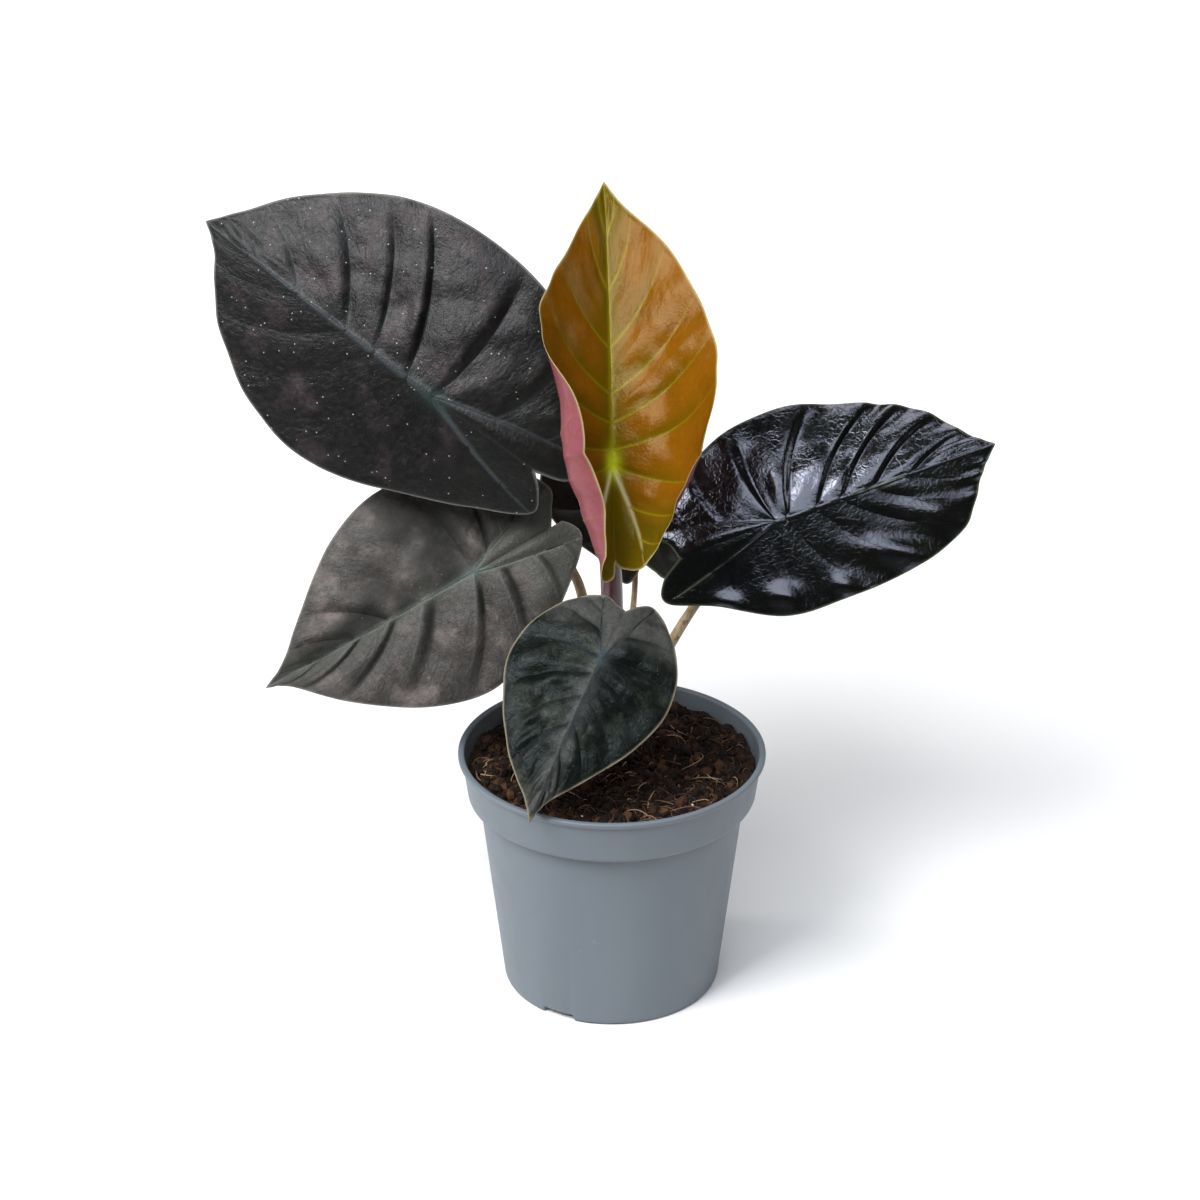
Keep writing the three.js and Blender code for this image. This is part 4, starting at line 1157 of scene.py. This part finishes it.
def lower_colour(nodes, look, strayed):
    """The lower face, with the ribs and a net of darker veins."""
    colour = nodes.mix(nodes.times(nodes.attribute("rib"), 0.5), look["under"], look["rib"])
    return nodes.mix(nodes.cracks(strayed, 0.17, 0.3, 0), colour, look["base"])


def leaf_material(name):
    """A blade's skin, laid out by the marks that its mesh carries."""
    look = LOOKS[name]
    nodes = Nodes("leaf_" + name)
    flat = nodes.attribute("flat", "Vector")
    weave = nodes.attribute("weave", "Vector")
    streaked = nodes.add("Mapping", {"Vector": weave, "Scale": (1.0, 0.16, 1.0)}).outputs[0]
    patches = nodes.noise(flat, 0.05, detail=4, roughness=0.6)
    streaks = nodes.noise(streaked, 1.1, detail=4, roughness=0.6, distortion=0.4)
    fine = nodes.noise(flat, 1.1, detail=4, roughness=0.65)
    mottle = nodes.noise(flat, 0.42, detail=5, roughness=0.62, distortion=0.8)
    stray = nodes.add("TexNoise", {"Vector": flat, "Scale": 0.35, "Detail": 3.0}).outputs["Color"]
    shift = nodes.add("VectorMath", {0: stray, "Scale": 4.0}, operation="SCALE").outputs[0]
    strayed = nodes.add("VectorMath", {0: flat, 1: shift}).outputs[0]
    under = nodes.range(nodes.attribute("under"), 0.45, 0.55)
    upper = upper_colour(nodes, look, flat, patches, streaks, mottle)
    colour = nodes.mix(under, upper, lower_colour(nodes, look, strayed))
    colour = nodes.mix(nodes.attribute("margin"), colour, look["margin"])
    roughness = nodes.range(streaks, 0.3, 0.7, look["roughness"] - 0.05, look["roughness"] + 0.07)
    roughness = nodes.plus(roughness, nodes.times(nodes.attribute("pigment_and_shade"), look["dull"]))
    left_half = nodes.range(nodes.add("SeparateXYZ", {"Vector": flat}).outputs["Y"], -2.0, 2.0)
    creased = nodes.range(left_half, 0.0, 1.0, look["crease"][1], look["crease"][0])
    creased = nodes.times(creased, nodes.range(patches, 0.35, 0.6))
    height = nodes.times(streaks, 2 * look["grain"])
    height = nodes.plus(height, nodes.times(fine, look["grain"]))
    height = nodes.plus(height, nodes.times(mottle, look["mottle"][1]))
    height = nodes.plus(height, nodes.times(nodes.cracks(strayed, 0.36), creased))
    nodes.bump(height, look["wrinkle"])
    return nodes.finish(
        base_color=colour, roughness=roughness, specular_ior_level=look["gloss"], specular_tint=look["shine"],
    )


def tan_material():
    """A petiole's skin: tan with fine lengthwise streaks and brown flecks."""
    nodes = Nodes("tan_petiole")
    streaks = nodes.streaks(900, 0.12)
    flecks = nodes.noise(nodes.object_point(), 420, detail=2)
    colour = nodes.mix(nodes.range(streaks, 0.35, 0.65), (0.34, 0.24, 0.13), (0.46, 0.35, 0.21))
    colour = nodes.mix(nodes.range(flecks, 0.58, 0.72), colour, (0.20, 0.12, 0.06))
    colour = nodes.mix(nodes.range(nodes.attribute("along"), 0.86, 1.0), colour, (0.24, 0.27, 0.14))
    nodes.bump(streaks, 0.08)
    return nodes.finish(base_color=colour, roughness=0.42)


def burgundy_material():
    """The new leaf's stem and sheath: dark wine red and a little glossy, with lengthwise streaks."""
    nodes = Nodes("burgundy_petiole")
    streaks = nodes.streaks(700, 0.1)
    colour = nodes.mix(nodes.range(streaks, 0.35, 0.65), (0.045, 0.012, 0.018), (0.085, 0.03, 0.035))
    nodes.bump(streaks, 0.08)
    return nodes.finish(base_color=colour, roughness=0.3)


def pot_material():
    """Moulded grey-blue plastic: a fine matte grain, faint flow marks and a few dusty scuffs."""
    nodes = Nodes("pot_plastic")
    place = nodes.object_point()
    grain = nodes.noise(place, 1400, detail=2)
    flow = nodes.streaks(40, 0.15)
    scuff = nodes.noise(place, 90, detail=6, roughness=0.7)
    colour = nodes.mix(nodes.range(flow, 0.3, 0.7), (0.115, 0.138, 0.160), (0.128, 0.150, 0.170))
    colour = nodes.mix(nodes.range(scuff, 0.66, 0.8, 0, 0.35), colour, (0.34, 0.38, 0.40))
    roughness = nodes.range(scuff, 0.3, 0.7, 0.46, 0.56)
    nodes.bump(grain, 0.03)
    return nodes.finish(base_color=colour, roughness=roughness)


def soil_material():
    """Moist peat: nearly black, with brown crumbs of several sizes."""
    nodes = Nodes("peat")
    place = nodes.object_point()
    coarse = nodes.noise(place, 260, detail=5, roughness=0.65)
    fine = nodes.noise(place, 1100, detail=3)
    colour = nodes.mix(nodes.range(coarse, 0.42, 0.66), (0.006, 0.0035, 0.0025), (0.034, 0.016, 0.009))
    colour = nodes.mix(nodes.range(fine, 0.62, 0.75, 0, 0.6), colour, (0.12, 0.07, 0.04))
    nodes.bump(nodes.plus(coarse, fine), 0.8)
    return nodes.finish(base_color=colour, roughness=0.85, specular_ior_level=0.15)


def crumb_material():
    """Crumbs of peat, each of its own tone."""
    nodes = Nodes("peat_crumbs")
    tone = nodes.attribute("tone")
    fine = nodes.noise(nodes.object_point(), 900, detail=4)
    colour = nodes.mix(nodes.range(tone, 0.55, 1.0), (0.007, 0.004, 0.003), (0.065, 0.030, 0.015))
    colour = nodes.mix(nodes.range(fine, 0.5, 0.75, 0, 0.4), colour, (0.08, 0.045, 0.024))
    nodes.bump(fine, 0.3)
    return nodes.finish(base_color=colour, roughness=0.85, specular_ior_level=0.15)


def fibre_material():
    """Coir: mostly brown, some tan and some almost black, with finer streaks."""
    nodes = Nodes("coir")
    tone = nodes.attribute("tone")
    streaks = nodes.noise(nodes.object_point(), 1500, detail=2)
    colour = nodes.mix(nodes.range(tone, 0.3, 0.75), (0.018, 0.008, 0.005), (0.12, 0.055, 0.025))
    colour = nodes.mix(nodes.range(tone, 0.82, 1.0), colour, (0.42, 0.28, 0.17))
    colour = nodes.mix(nodes.range(streaks, 0.4, 0.7, 0, 0.35), colour, (0.06, 0.03, 0.015))
    return nodes.finish(base_color=colour, roughness=0.55)


def perlite_material():
    """White, pitted grains."""
    nodes = Nodes("perlite")
    pits = nodes.noise(nodes.object_point(), 2200, detail=3)
    colour = nodes.mix(nodes.range(pits, 0.4, 0.7), (0.62, 0.60, 0.55), (0.85, 0.84, 0.80))
    nodes.bump(pits, 0.2)
    return nodes.finish(base_color=colour, roughness=0.9)


def floor_material():
    """A white paper sweep that glows a little further back, with the dark studio floor in front of it."""
    nodes = Nodes("studio_floor")
    place = nodes.object_point()
    apart = nodes.add("SeparateXYZ", {"Vector": place})
    grain = nodes.noise(place, 3, detail=2)
    paper = nodes.mix(grain, (0.86, 0.86, 0.86), (0.88, 0.88, 0.88))
    sideways = nodes.add("Math", {0: apart.outputs["X"]}, operation="ABSOLUTE").outputs[0]
    on_paper = nodes.times(
        nodes.range(apart.outputs["Y"], PAPER_FRONT * MM, (PAPER_FRONT + PAPER_EDGE) * MM),
        nodes.range(sideways, PAPER_SIDE * MM, (PAPER_SIDE + 2 * PAPER_EDGE) * MM, 1, 0),
    )
    distance = nodes.add("VectorMath", {0: place}, operation="LENGTH").outputs["Value"]
    glow = nodes.range(distance, FLOOR_GLOW_FROM * MM, FLOOR_GLOW_TO * MM, 0.0, FLOOR_GLOW)
    return nodes.finish(
        base_color=nodes.mix(on_paper, (0.06, 0.06, 0.06), paper), roughness=0.6,
        emission_color=(1.0, 1.0, 1.0), emission_strength=nodes.times(glow, on_paper),
        specular_ior_level=0.2,
    )


# The stage

PAPER_FRONT = -320
PAPER_EDGE = 120
PAPER_SIDE = 620
FLOOR_GLOW_FROM = 120
FLOOR_GLOW_TO = 1100
FLOOR_GLOW = 0.78


def floor():
    reach = 6000
    corners = [(-reach, -reach, 0), (reach, -reach, 0), (reach, reach, 0), (-reach, reach, 0)]
    thing = mesh_object("studio_floor", corners, [[0, 1, 2, 3]], smooth_shading=False)
    thing.data.materials.append(floor_material())


def softbox(name, place, aim, width, height, watts, colour=(1, 1, 1)):
    """A soft rectangular light at a place in millimetres, turned towards another."""
    data = bpy.data.lights.new(name, "AREA")
    data.shape = "RECTANGLE"
    data.size = width * MM
    data.size_y = height * MM
    data.energy = watts
    data.color = colour
    light = bpy.data.objects.new(name, data)
    bpy.context.scene.collection.objects.link(light)
    light.location = Vector(place) * MM
    light.rotation_euler = (Vector(aim) - Vector(place)).to_track_quat("-Z", "Y").to_euler()


def studio():
    world = bpy.data.worlds.new("studio")
    bpy.context.scene.world = world
    bpy.context.scene.view_settings.view_transform = "Standard"
    world.use_nodes = True
    background = world.node_tree.nodes["Background"]
    background.inputs["Color"].default_value = (0.95, 0.97, 1.0, 1)
    background.inputs["Strength"].default_value = 0.04
    aim = (0, 0, 160)
    softbox("key", (-900, -830, 1500), aim, 900, 900, 42)
    softbox("front", (-60, -900, 1250), aim, 1400, 800, 15, (0.90, 0.94, 1.0))
    softbox("overhead", (100, 400, 1600), aim, 900, 700, 8, (0.95, 0.97, 1.0))
    softbox("right", (1500, 100, 700), aim, 300, 900, 3)
    softbox("left", (-1500, 300, 600), aim, 300, 900, 7)


# The camera stands where the photograph was taken from: found from the pot's rim and base ellipses
CAMERA_PLACE = (-4.6, -972.8, 627.2)
CAMERA_PITCH = 25.46
CAMERA_LENS = 85
SENSOR = 36


def camera():
    data = bpy.data.cameras.new("camera")
    data.lens = CAMERA_LENS
    data.sensor_width = SENSOR
    data.clip_start = 0.01
    data.clip_end = 50
    thing = bpy.data.objects.new("camera", data)
    thing.location = [value * MM for value in CAMERA_PLACE]
    thing.rotation_euler = (math.radians(90 - CAMERA_PITCH), 0, 0)
    bpy.context.scene.collection.objects.link(thing)
    bpy.context.scene.camera = thing


pot()
soil_surface()
scattered_crumbs("peat_crumbs", 1500, (0.5, 2.6), 11, crumb_material(), reach=53)
scattered_fibres("coir_fibres", 460, (3, 18), (0.1, 0.34), 12, fibre_material())
scattered_crumbs("perlite", 5, (0.5, 0.9), 13, perlite_material(), reach=50)
for number, (leaf_name, leaf_facts) in enumerate(LEAVES.items()):
    leaf_blade(leaf_name, leaf_facts, 20 + number)
    leaf_stem(leaf_name, leaf_facts)
stem_sheath(LEAVES["centre"])
floor()
studio()
camera()
